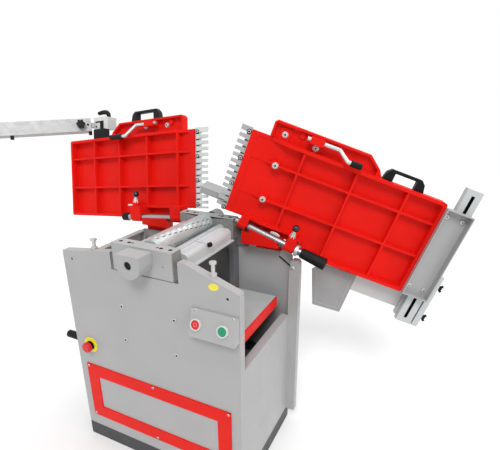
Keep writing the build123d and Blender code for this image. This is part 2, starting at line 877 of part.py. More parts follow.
# Flange motor behind the rear panel's inner face
with BuildPart() as motor:
    flange_y = inner_y - motor_flange
    cyl((motor_x, flange_y, motor_z), (motor_x, inner_y, motor_z), motor_flange_r)
    cyl((motor_x, flange_y - motor_length, motor_z), (motor_x, flange_y, motor_z), motor_r)
    for turn in range(fin_count):
        angle = 2 * pi * turn / fin_count
        fin = (motor_x + motor_r * cos(angle), flange_y - motor_length / 2, motor_z + motor_r * sin(angle))
        with Locations(Plane(origin=fin, x_dir=(0, 1, 0), z_dir=(cos(angle), 0, sin(angle)))):
            Box(fin_length, fin_thickness, 2 * fin_height)
    terminal_y = flange_y - motor_length / 2
    with Locations((motor_x, terminal_y, motor_z + motor_r)):
        Box(terminal_size, terminal_size, 2 * terminal_height)
    hole_end = (motor_x, inner_y + 1, motor_z)
    cyl((motor_x, flange_y, motor_z), hole_end, motor_shaft_r + running_fit, Mode.SUBTRACT)
save(motor, "motor")

# Sheet guard over the belt
with BuildPart() as belt_guard:
    for inset, mode in ((0.0, Mode.ADD), (guard_sheet, Mode.SUBTRACT)):
        with BuildSketch(front_plane(panel_y), mode=Mode.PRIVATE) as guard_face:
            with Locations((0, cutter_z)):
                Circle(cutter_pulley_r + guard_clear - inset)
            with Locations((motor_x, motor_z)):
                Circle(motor_pulley_r + guard_foot_clear - inset)
            make_hull()
        extrude(guard_face.sketch, amount=inset - guard_depth, mode=mode)
save(belt_guard, "belt_guard")

# Feed rollers either side of the cutterblock
roller_half_y = block_inner_y - 2
for x, name in ((roller_x, "infeed_roller"), (-roller_x, "outfeed_roller")):
    with BuildPart() as roller:
        cyl((x, -roller_half_y, roller_z), (x, roller_half_y, roller_z), roller_r)
        pin_half = block_inner_y + roller_pin
        cyl((x, -pin_half, roller_z), (x, pin_half, roller_z), roller_pin_r)
    save(roller, name)

# Steel rail on the left of the cutterblock
with BuildPart() as steel_rail:
    rail_bottom = rail_top - rail_height
    half = rail_width / 2
    box(rail_x - half, rail_x + half, -block_inner_y, block_inner_y, rail_bottom, rail_top)

# Rule beam with its sliding stop and knurled knob
with BuildPart() as rule_beam:
    rounded_bar(beam_inner_x, beam_outer_x, -block_inner_y, beam_rear_y, beam_bottom, beam_top, beam_round)
    shelf_x = beam_outer_x + shelf
    box(beam_outer_x, shelf_x, -block_inner_y, beam_rear_y, beam_bottom, beam_bottom + beam_wall)
    inner_x = beam_inner_x + beam_wall
    core_x = beam_outer_x - beam_wall
    core_top = beam_top - beam_round - beam_wall
    box(inner_x, core_x, -block_inner_y, beam_rear_y, beam_bottom + beam_wall, core_top, Mode.SUBTRACT)
save([steel_rail, rule_beam], "bed_rails")

slider_front_y = slider_y - slider_length / 2
slider_rear_y = slider_y + slider_length / 2
slider_in_x = beam_inner_x + slider_inset
slider_under_x = beam_outer_x + part_gap
slider_under = beam_top + part_gap
slider_out_x = beam_outer_x + slider_sheet
slider_top = beam_top + slider_sheet
slider_low = beam_top - slider_drop
with BuildPart() as rule_slider:
    for x1, z1, mode in ((slider_out_x, slider_top, Mode.ADD), (slider_under_x, slider_under, Mode.SUBTRACT)):
        edge_r = beam_round + x1 - beam_outer_x
        rounded_bar(slider_in_x, x1, slider_front_y, slider_rear_y, slider_low, z1, edge_r, mode)
save(rule_slider, "rule_slider")

knob_way = Vector(cos(slider_knob_tilt), 0, sin(slider_knob_tilt))
knob_base = Vector(beam_outer_x - beam_round, slider_front_y + slider_knob_inset, beam_top - beam_round)
knob_base += knob_way * (beam_round + slider_sheet)
with BuildPart() as slider_knob_piece:
    neck_end = knob_base + knob_way * knob_neck
    cyl(knob_base, neck_end, knob_neck_r)
    cyl(neck_end, neck_end + knob_way * slider_knob, slider_knob_r)
    fillet(slider_knob_piece.edges().group_by(Axis(knob_base, knob_way))[-1], knob_edge_r)
save(slider_knob_piece, "slider_knob")

# Thicknessing table with its red end bands
with BuildPart() as thickness_table:
    bed_bottom = bed_top - bed_depth
    box(-bed_half_x, bed_half_x, -bed_half_y, bed_half_y, bed_bottom, bed_top)
    hollow_x = bed_half_x - rim
    hollow_y = bed_half_y - rim
    box(-hollow_x, hollow_x, -hollow_y, hollow_y, bed_bottom, bed_top - bed_skin, Mode.SUBTRACT)
    for x in (-bed_half_x / 2, bed_half_x / 2):
        box(x - rib / 2, x + rib / 2, -hollow_y, hollow_y, bed_bottom, bed_top - bed_skin)
    box(-hollow_x, hollow_x, -rib / 2, rib / 2, bed_bottom, bed_top - bed_skin)
    cyl((0, 0, bed_bottom), (0, 0, bed_top - bed_skin), 2 * screw_r)
    gib_y = inner_y - cheek_depth - part_gap
    for side in (-1, 1):
        gib_bottom = bed_bottom - gib_drop
        box(-gib_half_x, gib_half_x, side * bed_half_y, side * gib_y, gib_bottom, bed_top - bed_skin)

with BuildPart() as table_bands:
    for side in (-1, 1):
        box(side * bed_half_x, side * (bed_half_x + band), -bed_half_y, bed_half_y, bed_bottom, bed_top - 1)

# Rising screw under the table, turned through a bevel nut by the crank
with BuildPart() as lift_screw:
    cyl((0, 0, screw_bottom), (0, 0, bed_bottom), screw_r)
    chamfer(lift_screw.edges().group_by(Axis.Z)[0], screw_chamfer)
save([thickness_table, table_bands, lift_screw], "thickness_table")

screw_hole_r = screw_r + part_gap
with BuildPart() as lift_bridge:
    bridge_bottom = bridge_top - bridge_thickness
    box(-side_in_x, side_in_x, -bridge_half_y, bridge_half_y, bridge_bottom, bridge_top)
    boss_fit_r = nut_boss_r + running_fit
    cyl((0, 0, bridge_bottom - 1), (0, 0, bridge_top + 1), boss_fit_r, Mode.SUBTRACT)
save([*cheeks, lift_bridge], "inner_frame")

nut_bottom = bridge_top + part_gap
nut_top = nut_bottom + nut_thickness
with BuildPart() as nut_gear:
    cyl((0, 0, nut_bottom), (0, 0, nut_top), nut_r)
    chamfer(nut_gear.edges().group_by(Axis.Z)[-1], nut_thickness / 3)
    cyl((0, 0, nut_bottom - nut_boss), (0, 0, nut_bottom), nut_boss_r)
    with PolarLocations(nut_r, gear_teeth):
        with Locations((0, 0, nut_top)):
            Box(nut_thickness, tooth_gap, 2 * tooth_depth, mode=Mode.SUBTRACT)
    cyl((0, 0, nut_bottom - nut_boss - 1), (0, 0, nut_top + 1), screw_hole_r, Mode.SUBTRACT)
save(nut_gear, "nut_gear")

with BuildPart() as crank_shaft:
    cyl((crank_x - crank_arm, 0, crank_z), (pinion_x, 0, crank_z), crank_shaft_r)
    cyl((pinion_x - pinion_width, 0, crank_z), (pinion_x, 0, crank_z), pinion_r)
    inner_collar_x = -side_in_x + part_gap
    cyl((inner_collar_x, 0, crank_z), (inner_collar_x + crank_collar, 0, crank_z), crank_collar_r)
    cyl((-panel_half_x - part_gap, 0, crank_z), (crank_x, 0, crank_z), crank_spacer_r)

crank_end = (crank_reach_y, crank_z - crank_drop)
with BuildPart() as crank_arm_piece:
    with BuildSketch(Plane.YZ.offset(crank_x), mode=Mode.PRIVATE) as arm_face:
        with Locations((0, crank_z)):
            Circle(crank_hub_r)
        with Locations(crank_end):
            Circle(crank_tip_r)
        make_hull()
    extrude(arm_face.sketch, amount=-crank_arm)
    cyl((crank_x + 1, 0, crank_z), (crank_x - crank_arm - 1, 0, crank_z), crank_shaft_r, Mode.SUBTRACT)
    grip_end_x = crank_x - crank_arm - crank_grip
    cyl((crank_x - crank_arm, *crank_end), (grip_end_x - crank_pin_end, *crank_end), crank_pin_r)
save([crank_shaft, crank_arm_piece], "crank")

with BuildPart() as crank_grip_piece:
    start_x = crank_x - crank_arm - part_gap
    cyl((start_x, *crank_end), (grip_end_x, *crank_end), crank_grip_r)
    fillet(crank_grip_piece.edges(), grip_edge_r)
    bore_r = crank_pin_r + running_fit
    cyl((start_x + 1, *crank_end), (grip_end_x - 1, *crank_end), bore_r, Mode.SUBTRACT)
save(crank_grip_piece, "crank_grip")

# Hinge rods, each with its bracket behind the rear panel
reduced_r = rod_r - rod_step
collar_x = right_ears[1][1] + part_gap + collar_r * tan(radians(right_fall))
grip_start = collar_x + collar_width + depth_travel + 1
rod_end = grip_start + grip_length - grip_wall
with BuildPart() as left_hinge_rod:
    cyl(left_rod_at(left_rod[0]), left_rod_at(left_rod[1]), rod_r)

with BuildPart() as right_hinge_rod:
    cyl(right_rod_at(right_rod_start), right_rod_at(grip_start), rod_r)
    cyl(right_rod_at(grip_start), right_rod_at(rod_end), reduced_r)

hinge_brackets = []
for (x0, x1), foot_x, rod_at in (
    (left_bracket, None, left_rod_at),
    (right_bracket, right_saddle_foot, right_rod_at),
):
    with BuildPart() as bracket:
        _, rod_y, z0 = rod_at(x0)
        z1 = rod_at(x1)[2]
        plate = [(x0, bracket_bottom), (x1, bracket_bottom), (x1, z1), (x0, z0)]
        prism(plate, front_plane(panel_y), -bracket_wall)
        saddle = [(x0, saddle_bottom), (x1, saddle_bottom), (x1, z1), (x0, z0)]
        front_y = rod_y - bracket_front
        prism(saddle, front_plane(front_y), front_y - panel_y)
        if foot_x:
            drop = ear_r / cos(radians(right_fall)) + saddle_gap
            foot_z = rod_at(foot_x)[2] - drop
            foot = [(foot_x, saddle_bottom), (x0, saddle_bottom), (x0, z0 - drop), (foot_x, foot_z)]
            prism(foot, front_plane(front_y), front_y - panel_y)
        cyl(rod_at(x0 - rod_r), rod_at(x1 + rod_r), rod_r, Mode.SUBTRACT)
    hinge_brackets.append(bracket)
save(hinge_brackets, "hinge_brackets")

with BuildPart() as left_rod_cap:
    cyl(left_rod_at(left_rod[1]), left_rod_at(left_rod[1] - cap_length), cap_r)
    fillet(left_rod_cap.edges(), grip_edge_r)
save([left_hinge_rod, right_hinge_rod, left_rod_cap], "hinge_rods")

# Collar that shifts the right table along its sloping rod, and the grip that drives it
with BuildPart() as depth_collar:
    cyl(right_rod_at(collar_x), right_rod_at(collar_x + collar_width), collar_r)
    bore = (right_rod_at(collar_x - 1), right_rod_at(collar_x + collar_width + 1))
    cyl(*bore, rod_r + running_fit, Mode.SUBTRACT)
save(depth_collar, "depth_collar")

with BuildPart() as depth_grip:
    grip_end = grip_start + grip_length
    cyl(right_rod_at(grip_start + part_gap), right_rod_at(grip_end), grip_r)
    fillet(depth_grip.edges(), grip_edge_r)
    cyl(right_rod_at(grip_start - 1), right_rod_at(rod_end + 1), reduced_r + running_fit, Mode.SUBTRACT)
save(depth_grip, "depth_grip")


def rounded(points, plane, depth, mode, corners):
    """Prism whose outermost corners along X are rounded: all of them, or only the far two."""
    with BuildSketch(plane, mode=Mode.PRIVATE) as outline:
        with BuildLine():
            Polyline(*points, close=True)
        make_face()
        by_reach = outline.vertices().sort_by(lambda corner: abs(corner.X))
        fillet(by_reach[-corners:], corner_r)
    extrude(outline.sketch, amount=depth, mode=mode)


def plate_and_ribs(side, root, end, taper, relief, hinge_side, ribs_x, ribs_y):
    """Table plate with rims and ribs underneath that fade towards the lips."""
    outline = [
        (root, front_edge_y),
        (end, front_edge_y),
        (end, rear_edge_y),
        (relief, rear_edge_y),
        (relief, hinge_side),
        (root, hinge_side),
    ]
    rounded(outline, Plane.XY.offset(underside), rib_depth, Mode.ADD, 2)
    inner_x = root + side * lip_rim
    outer_x = end - side * rim
    relief_x = relief + side * rim
    pocket = [
        (inner_x, front_edge_y + rim),
        (outer_x, front_edge_y + rim),
        (outer_x, rear_edge_y - rim),
        (relief_x, rear_edge_y - rim),
        (relief_x, hinge_side - rim),
        (inner_x, hinge_side - rim),
    ]
    rounded(pocket, Plane.XY.offset(underside), rib_depth - skin, Mode.SUBTRACT, len(pocket))
    rib_bottom = underside + rib_relief
    for x in ribs_x:
        back = rear_edge_y if abs(x) > abs(relief) else hinge_side
        box(x - rib / 2, x + rib / 2, front_edge_y + rim, back - rim, rib_bottom, table_z - skin)
    for y in ribs_y:
        box(inner_x, outer_x, y - rib / 2, y + rib / 2, rib_bottom, table_z - skin)
    shallow_x, deep_x = taper
    fade = [
        (root - side, underside - 1),
        (deep_x, underside - 1),
        (deep_x, underside),
        (shallow_x, shallow_z),
        (root - side, shallow_z),
    ]
    prism(fade, front_plane(front_edge_y - 1), front_edge_y - hinge_side - 2, Mode.SUBTRACT)


def front_apron(side, start, knee, tail):
    """Shallow tray along the front edge that the pins, levers and handle meet."""
    edge = [
        (start, front_edge_y),
        (start, apron_y + apron_corner),
        (start + side * apron_corner, apron_y),
        (knee, apron_y),
        (tail, front_edge_y - apron_tail),
        (tail + side * apron_run, front_edge_y),
    ]
    prism(edge, Plane.XY.offset(table_z - apron_depth), apron_depth)
    well_y = apron_y + apron_rim
    well_start = start + side * apron_rim
    well_end = tail - side * apron_rim
    well = [
        (well_start, front_edge_y),
        (well_start, well_y),
        (knee - side * apron_rim / 2, well_y),
        (well_end, front_edge_y - apron_tail + apron_rim / 2),
        (well_end, front_edge_y),
    ]
    prism(well, Plane.XY.offset(table_z - apron_depth), apron_depth - apron_skin, Mode.SUBTRACT)


def hinge_ears(side, ears, flap, hinge_side, rod_at):
    """Two ears that turn on the hinge rod, and a flap of the plate between them."""
    web_start = hinge_side - rim / 2
    for x0, x1 in ears:
        _, rod_y, z0 = rod_at(x0)
        z1 = rod_at(x1)[2]
        web = [(x0, z0 - ear_r), (x1, z1 - ear_r), (x1, table_z - skin), (x0, table_z - skin)]
        prism(web, front_plane(web_start), web_start - rod_y)
        cyl(rod_at(x0), rod_at(x1), ear_r)
    flap_x0, flap_x1, flap_y = flap
    box(flap_x0, flap_x1, web_start, flap_y, table_z - skin, table_z)
    start = rod_at(ears[0][0] - side * ear_r)
    cyl(start, rod_at(ears[1][1] + side * ear_r), rod_r + running_fit, Mode.SUBTRACT)


def pad(x, drop=0.0):
    """Round boss under an apron that meets the head of a stop pin once the table has sunk by drop."""
    cyl((x, pin_y, apron_over_pin + drop), (x, pin_y, table_z - apron_skin), pin_head_r)


def lever_seat(path):
    """Lug under an apron that the clamp lever turns in."""
    side = 1 if path[1] > path[0] else -1
    near = path[0] + side * lever_end
    far = near + side * lever_lug
    lug_y = lever_y + lever_lug_half
    box(near, far, lever_y - lever_lug_half, lug_y, lever_z - lever_lug_half, table_z - apron_skin)
    bore_r = lever_r + running_fit
    cyl((near - side, lever_y, lever_z), (far + side, lever_y, lever_z), bore_r, Mode.SUBTRACT)


def plunger_seat(side, place, rod_at):
    """Block and sleeve on the outer ear that guide the ball plunger towards the rod."""
    x, y, z = rod_at(place)
    near = x - side * plunger_side
    far = near + side * plunger_block
    block_y0 = plunger_sleeve_y + plunger_nose
    block_y1 = y - collar_r - collar_clear
    box(near, far, block_y0, block_y1, z - plunger_sleeve_r, table_z - skin)
    cyl((x, y - rod_r - 1, z), (x, plunger_sleeve_y, z), plunger_sleeve_r)
    cyl((x, y - rod_r, z), (x, plunger_sleeve_y - 1, z), plunger_r + running_fit, Mode.SUBTRACT)


left_root = left_lip_tip - left_lip_reach
right_root = right_lip_tip + right_lip_reach
with BuildPart() as left_table:
    left_plate = (left_root, left_end_x, left_taper, left_relief_x)
    plate_and_ribs(-1, *left_plate, left_hinge_side, left_ribs_x, left_ribs_y)
    front_apron(-1, *left_apron)
    hinge_ears(-1, left_ears, left_flap, left_hinge_side, left_rod_at)
    pad(pin_left_x)
    lever_seat(left_lever)
    plunger_seat(-1, left_plunger_x, left_rod_at)
save(left_table, "left_table", left_swing)

with BuildPart() as right_table:
    right_plate = (right_root, right_end_x, right_taper, right_relief_x)
    plate_and_ribs(1, *right_plate, right_hinge_side, right_ribs_x, right_ribs_y)
    front_apron(1, *right_apron)
    hinge_ears(1, right_ears, right_flap, right_hinge_side, right_rod_at)
    pad(pin_right_x, depth_travel * sin(radians(right_fall)))
    boss_bottom = underside + rib_relief
    for y in right_ribs_y:
        boss_x0 = right_rib_bolts_x - bolt_boss_half
        boss_x1 = right_rib_bolts_x + bolt_boss_half
        box(boss_x0, boss_x1, y - bolt_boss_half, y + bolt_boss_half, boss_bottom, table_z - skin)
    for x, y in right_bolts:
        half_x, half_y, proud = bolt_plate
        plate_z = table_z - apron_skin
        box(x - half_x, x + half_x, y - half_y, y + half_y, plate_z - proud, plate_z)
    lever_seat(right_lever)
    plunger_seat(1, right_plunger_x, right_rod_at)
save(right_table, "right_table", right_swing)

# Comb lips bolted to the thin ends of the castings
lip_bottom = table_z - lip_thickness
screw_ys = [lip_half_y * share for share in lip_screw_shares]
lips = (
    (-1, left_lip_tip, left_root, left_hinge_side, "left", left_swing),
    (1, right_lip_tip, right_root, right_hinge_side, "right", right_swing),
)
screws = {}
for side, tip, root, hinge_side, name, swing in lips:
    with BuildPart() as lip:
        box(tip, root, -lip_half_y, hinge_side, lip_bottom, table_z)
        gap_x = tip + finger_share * (root - tip)
        count = int((lip_half_y + hinge_side) // finger_pitch)
        for step in range(count):
            y0 = -lip_half_y + (step + 1) * finger_pitch - finger_gap / 2
            y1 = y0 + finger_gap
            box(tip - side, gap_x, y0, y1, lip_bottom - 1, table_z + 1, Mode.SUBTRACT)
        under = [(tip - side, lip_bottom - 1), (gap_x, lip_bottom - 1), (tip - side, table_z - lip_nose)]
        prism(under, front_plane(-lip_half_y - 1), -2 * lip_half_y - 2, Mode.SUBTRACT)
    save(lip, f"{name}_lip", swing)
    with BuildPart() as lip_screws:
        for y in screw_ys:
            x = root - side * lip_screw_inset
            head_z = lip_bottom - lip_screw_head
            cyl((x, y, lip_bottom), (x, y, head_z), lip_screw_r)
            cyl((x, y, head_z - 1), (x, y, lip_bottom - 1), lip_screw_r / 2, Mode.SUBTRACT)
    screws[name] = lip_screws


def handle(x0, x1, edge_y):
    """Pull handle on a front edge, with splayed feet."""
    plane = Plane.XY.offset(table_z - handle_sink - handle_depth)
    out = edge_y - handle_height
    knee_y = out + handle_height / 3
    splay = handle_taper / 3
    bow = [
        (x0, edge_y),
        (x0 + splay, knee_y),
        (x0 + handle_taper, out),
        (x1 - handle_taper, out),
        (x1 - splay, knee_y),
        (x1, edge_y),
    ]
    prism(bow, plane, handle_depth)
    left = x0 + handle_post
    right = x1 - handle_post
    bar_y = out + handle_bar
    hole = [(left, edge_y), (left, bar_y), (right, bar_y), (right, edge_y)]
    prism(hole, plane, handle_depth, Mode.SUBTRACT)


for (x0, x1), edge_y, name, swing in (
    (left_handle, apron_y, "left_handle", left_swing),
    (right_handle, front_edge_y, "right_handle", right_swing),
):
    with BuildPart() as pull:
        handle(x0, x1, edge_y)
        fillet(pull.edges().filter_by(Axis.X), handle_edge_r)
    save(pull, name, swing)

# Clamp levers: a cranked steel rod with a black grip
levers = (
    (left_lever, left_lever_inset, left_lever_grip, "left", left_swing),
    (right_lever, right_lever_inset, right_lever_grip, "right", right_swing),
)
for path, inset, grip, name, swing in levers:
    x0, x1, x2, x3 = path
    side = 1 if x1 > x0 else -1
    knee = (x1, lever_y, lever_z)
    elbow = (x2, lever_y + inset, lever_z - lever_drop)
    grip_x = x3 - side * grip
    with BuildPart() as lever:
        cyl((x0, lever_y, lever_z), knee, lever_r)
        cyl(knee, elbow, lever_r)
        cyl(elbow, (grip_x, elbow[1], elbow[2]), lever_r)
        for bend in (knee, elbow):
            with Locations(bend):
                Sphere(lever_r)
    with BuildPart() as lever_grip_piece:
        cyl((grip_x, elbow[1], elbow[2]), (x3, elbow[1], elbow[2]), lever_grip_r)
        fillet(lever_grip_piece.edges(), lever_edge_r)
    save([lever, lever_grip_piece], f"{name}_clamp_lever", swing)

# Ball plungers that lock the tables open
for place, rod_at, name, swing in (
    (left_plunger_x, left_rod_at, "left_plunger", left_swing),
    (right_plunger_x, right_rod_at, "right_plunger", right_swing),
):
    x, y, z = rod_at(place)
    ball_y = plunger_sleeve_y - plunger_stem
    with BuildPart() as plunger:
        cyl((x, y - rod_r - 1, z), (x, ball_y, z), plunger_r)
        with Locations((x, ball_y, z)):
            Sphere(plunger_ball_r)
    save(plunger, name, swing)

# Bolt heads under the castings
bolt_z = table_z - apron_skin
with BuildPart() as left_table_bolts:
    for x, y in left_bolts:
        cyl((x, y, bolt_z), (x, y, bolt_z - bolt_head), bolt_head_r)
save([screws["left"], left_table_bolts], "left_table_screws", left_swing)

with BuildPart() as right_table_bolts:
    for x, y in right_bolts:
        head_z = bolt_z - bolt_plate[2]
        cyl((x, y, head_z), (x, y, head_z - bolt_head), bolt_head_r)
    for y in right_ribs_y:
        cyl((right_rib_bolts_x, y, boss_bottom), (right_rib_bolts_x, y, boss_bottom - bolt_head), bolt_head_r)

# End channel and guide bar across the end of the right table
channel_x = right_end_x + channel_width
web_z = channel_top - channel_sheet
with BuildPart() as end_channel:
    channel_bottom = channel_top - channel_depth
    box(right_end_x, channel_x, channel_front_y, channel_rear_y, channel_bottom, channel_top)
    in_x = right_end_x + channel_sheet
    out_x = channel_x - channel_sheet
    in_y = channel_front_y + channel_sheet
    out_y = channel_rear_y - channel_sheet
    box(in_x, out_x, in_y, out_y, channel_bottom, web_z, Mode.SUBTRACT)
save(end_channel, "end_channel", right_swing)

bar_in_x = bar_x - bar_width / 2
bar_out_x = bar_x + bar_width / 2
bar_top = channel_top + bar_height
with BuildPart() as guide_bar:
    box(bar_in_x, bar_out_x, bar_front_y, bar_rear_y, channel_top, bar_top)
    slot_in = bar_x - slot_width / 2
    slot_out = bar_x + slot_width / 2
    slot_top = channel_top + slot_depth
    slot_y0 = bar_front_y + slot_end
    slot_y1 = bar_rear_y - slot_end
    box(slot_in, slot_out, slot_y0, slot_y1, channel_top, slot_top, Mode.SUBTRACT)
save(guide_bar, "guide_bar", right_swing)

with BuildPart() as channel_screws:
    for x in (right_end_x + channel_screw_x, channel_x - channel_screw_x):
        for y in (channel_front_y + channel_screw_y, channel_rear_y - channel_screw_y):
            cyl((x, y, web_z), (x, y, web_z - channel_screw), channel_screw_r)
save([screws["right"], right_table_bolts, channel_screws], "right_table_screws", right_swing)

# Fence carriage on the guide bar, with its clamp profile and two knobs
carriage_z = bar_top + part_gap
carriage_in_x = bar_in_x - carriage_lap
carriage_out_x = bar_out_x + carriage_lap
carriage_rear_y = bar_rear_y - carriage_end
carriage_top = carriage_z + carriage_height
with BuildPart() as fence_carriage:
    box(carriage_in_x, carriage_out_x, carriage_front_y, carriage_rear_y, carriage_z, carriage_top)

clamp_x = carriage_out_x + clamp_width
with BuildPart() as clamp_profile:
    box(carriage_out_x, clamp_x, clamp_front_y, bar_rear_y, channel_top, carriage_top)
    middle = (channel_top + carriage_top) / 2
    groove_x = clamp_x - groove_depth
    groove_half = groove / 2
    groove_z = middle + groove_half
    box(groove_x, clamp_x, clamp_front_y, bar_rear_y, middle - groove_half, groove_z, Mode.SUBTRACT)
save([fence_carriage, clamp_profile], "fence_carriage", right_swing)

for y, name in zip(clamp_knob_ys, ("front_clamp_knob", "rear_clamp_knob")):
    with BuildPart() as clamp_knob:
        neck_x = clamp_x + clamp_knob_neck
        tip_x = clamp_x + clamp_knob_length
        cyl((groove_x + part_gap, y, middle), (neck_x, y, middle), groove_half - part_gap)
        cyl((neck_x, y, middle), (tip_x, y, middle), clamp_knob_hub_r)
        for turn in range(clamp_wings):
            angle = pi / 2 + 2 * pi * turn / clamp_wings
            tip = (tip_x, y + clamp_knob_r * cos(angle), middle + clamp_knob_r * sin(angle))
            cyl((neck_x, y, middle), tip, clamp_wing_r)
    save(clamp_knob, name, right_swing)

# Fence base plate with the hinge lugs of the tilting fence
fence_z = table_z + fence_lift
plate_top = fence_z + fence_plate
fence_rear_y = fence_y + fence_thickness
pivot_y = fence_rear_y + fence_pivot_gap
pivot_z = plate_top + fence_lug_r + fence_pivot_lift
with BuildPart() as fence_base:
    box(fence_plate_x, carriage_in_x, fence_rear_y + fence_base_gap, fence_plate_rear_y, fence_z, plate_top)
    for x in fence_lugs_x:
        for near in (x - lug_half - part_gap, x + lug_half + part_gap):
            far = near + (lug_half if near > x else -lug_half)
            cyl((near, pivot_y, pivot_z), (far, pivot_y, pivot_z), fence_lug_r)
            box(near, far, pivot_y - lug_web, pivot_y + fence_lug_r, plate_top, pivot_z)
        cyl((x - 2 * lug_half, pivot_y, pivot_z), (x + 2 * lug_half, pivot_y, pivot_z), fence_pivot_r)

with BuildPart() as fence:
    fence_end_x = carriage_in_x - 1
    box(fence_left_x, fence_end_x, fence_y, fence_rear_y, fence_z, fence_z + fence_height)
    cavity_y = fence_y + 2 * fence_wall
    cavity_z = (fence_height - (fence_cavities + 1) * fence_wall) / fence_cavities
    for step in range(fence_cavities):
        bottom = fence_z + fence_wall + step * (cavity_z + fence_wall)
        rear_wall = fence_rear_y - fence_wall
        box(fence_left_x, fence_end_x, cavity_y, rear_wall, bottom, bottom + cavity_z, Mode.SUBTRACT)
    for x in fence_lugs_x:
        cyl((x - lug_half, pivot_y, pivot_z), (x + lug_half, pivot_y, pivot_z), fence_lug_r)
        box(x - lug_half, x + lug_half, fence_rear_y, pivot_y, pivot_z - lug_web, pivot_z + lug_web)
        bore_r = fence_pivot_r + running_fit
        start = (x - lug_half - 1, pivot_y, pivot_z)
        cyl(start, (x + lug_half + 1, pivot_y, pivot_z), bore_r, Mode.SUBTRACT)
save(fence, "fence", right_swing)

# Sheet that hangs from the base plate behind the table
with BuildPart() as fence_rear_cover:
    prism(rear_cover, Plane.XY.offset(fence_z - cover_sheet), cover_sheet)
save([fence_base, fence_rear_cover], "fence_base", right_swing)

# Bridge guard: foot on the left table's front edge, a post, the holder round it and the folding arm
holder_bottom = table_z + holder_lift
holder_top = holder_bottom + holder_height
holder_y0 = guard_y - holder_half_y
holder_y1 = guard_y + holder_half_y
with BuildPart() as guard_post:
    plate_top = holder_bottom - part_gap
    foot_x0 = post_x - post_half_x
    box(foot_x0, post_x + post_half_x, post_foot_y, front_edge_y, table_z - post_foot, plate_top)
    box(*holder_x, holder_y0, post_foot_y + 1, plate_top - post_plate, plate_top)
    cyl((post_x, guard_y, table_z), (post_x, guard_y, post_top), pivot_r)
save(guard_post, "guard_post", left_swing)

# The arm is drawn as it hangs in the open pose: turned on the post, then folded on the pin
turn = radians(fold_turn)
fold = radians(fold_angle)
fold_pin = Vector(*fold_at)
pin_dir = Vector(-sin(turn), -cos(turn), 0)
reach_dir = Vector(-cos(turn), sin(turn), 0)
arm_dir = reach_dir * cos(fold) - Vector(0, 0, sin(fold))
face_dir = pin_dir.cross(arm_dir)


def bar(along, start, end, depth, low, high, mode=Mode.ADD):
    """Bar that runs from the fold pin, between two heights along the pin."""
    plane = Plane(fold_pin + along * start + pin_dir * ((low + high) / 2), along, pin_dir)
    with Locations(plane):
        Box(end - start, depth, high - low, align=(Align.MIN, Align.CENTER, Align.CENTER), mode=mode)


def pin(low, high, radius, mode=Mode.ADD):
    """Round on the axis of the fold pin."""
    cyl(fold_pin + pin_dir * low, fold_pin + pin_dir * high, radius, mode)


fork_outer = fork_gap + fork_wall
with BuildPart() as guard_holder:
    box(*holder_x, holder_y0, holder_y1, holder_bottom, holder_top)
    for low, high in ((-fork_outer, -fork_gap), (fork_gap, fork_outer)):
        bar(reach_dir, -fork_root, 0, 2 * fork_r, low, high)
        pin(low, high, fork_r)
    pin(-fork_outer, fork_outer, fold_pin_r)
    bore_end = (post_x, guard_y, holder_top + 1)
    cyl((post_x, guard_y, holder_bottom - 1), bore_end, pivot_r + running_fit, Mode.SUBTRACT)
save(guard_holder, "guard_holder", left_swing)

tongue = fork_gap - part_gap
arm_half = arm_width / 2
arm_end = arm_gap + arm_length
with BuildPart() as guard_arm:
    bar(arm_dir, 0, arm_gap + 1, 2 * fork_r, -tongue, tongue)
    pin(-tongue, tongue, fork_r)
    bar(arm_dir, arm_gap, arm_end, arm_depth, -arm_half, arm_half)
    hollow_half = arm_half - arm_wall
    hollow_depth = arm_depth - 2 * arm_wall
    bar(arm_dir, arm_gap + arm_wall, arm_end + 1, hollow_depth, -hollow_half, hollow_half, Mode.SUBTRACT)
    pin(-tongue - 1, tongue + 1, fold_pin_r + running_fit, Mode.SUBTRACT)

with BuildPart() as guard_feet:
    for along in guard_feet_at:
        foot_at = fold_pin + arm_dir * along
        cyl(foot_at - pin_dir * arm_half, foot_at - pin_dir * (arm_half + guard_foot), guard_foot_r)
save([guard_arm, guard_feet], "guard_arm", left_swing)

with BuildPart() as guard_lever:
    lever_mid = holder_bottom + guard_lever_lift
    blade_y = holder_y0 - guard_lever_stem
    cyl((guard_lever_x, holder_y0, lever_mid), (guard_lever_x, blade_y, lever_mid), guard_lever_r)
    x0, x1 = guard_lever_blade
    blade = (guard_lever_x + x0, guard_lever_x + x1, blade_y - guard_lever_blade_depth, blade_y)
    blade_half = guard_lever_width / 2
    box(*blade, lever_mid - blade_half, lever_mid + blade_half)
    fillet(guard_lever.edges().filter_by(Axis.Z), lever_edge_r)
save(guard_lever, "guard_lever", left_swing)

with BuildPart() as guard_knob_piece:
    knob_seat = fold_pin + arm_dir * (arm_gap + guard_knob_at) + face_dir * (arm_depth / 2)
    knob_end = knob_seat + face_dir * guard_knob
    knob_start = knob_seat + face_dir * guard_knob_neck
    cyl(knob_seat, knob_end, guard_lobe_r)
    cyl(knob_start, knob_end, guard_knob_r - guard_lobe_r + 1)
    with Locations(Plane((knob_start + knob_end) / 2, arm_dir, face_dir)):
        with PolarLocations(guard_knob_r - guard_lobe_r, guard_lobes):
            Cylinder(guard_lobe_r, guard_knob - guard_knob_neck)
save(guard_knob_piece, "guard_knob", left_swing)
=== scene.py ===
import json
import math

import bmesh
import bpy
from mathutils import Matrix, Vector


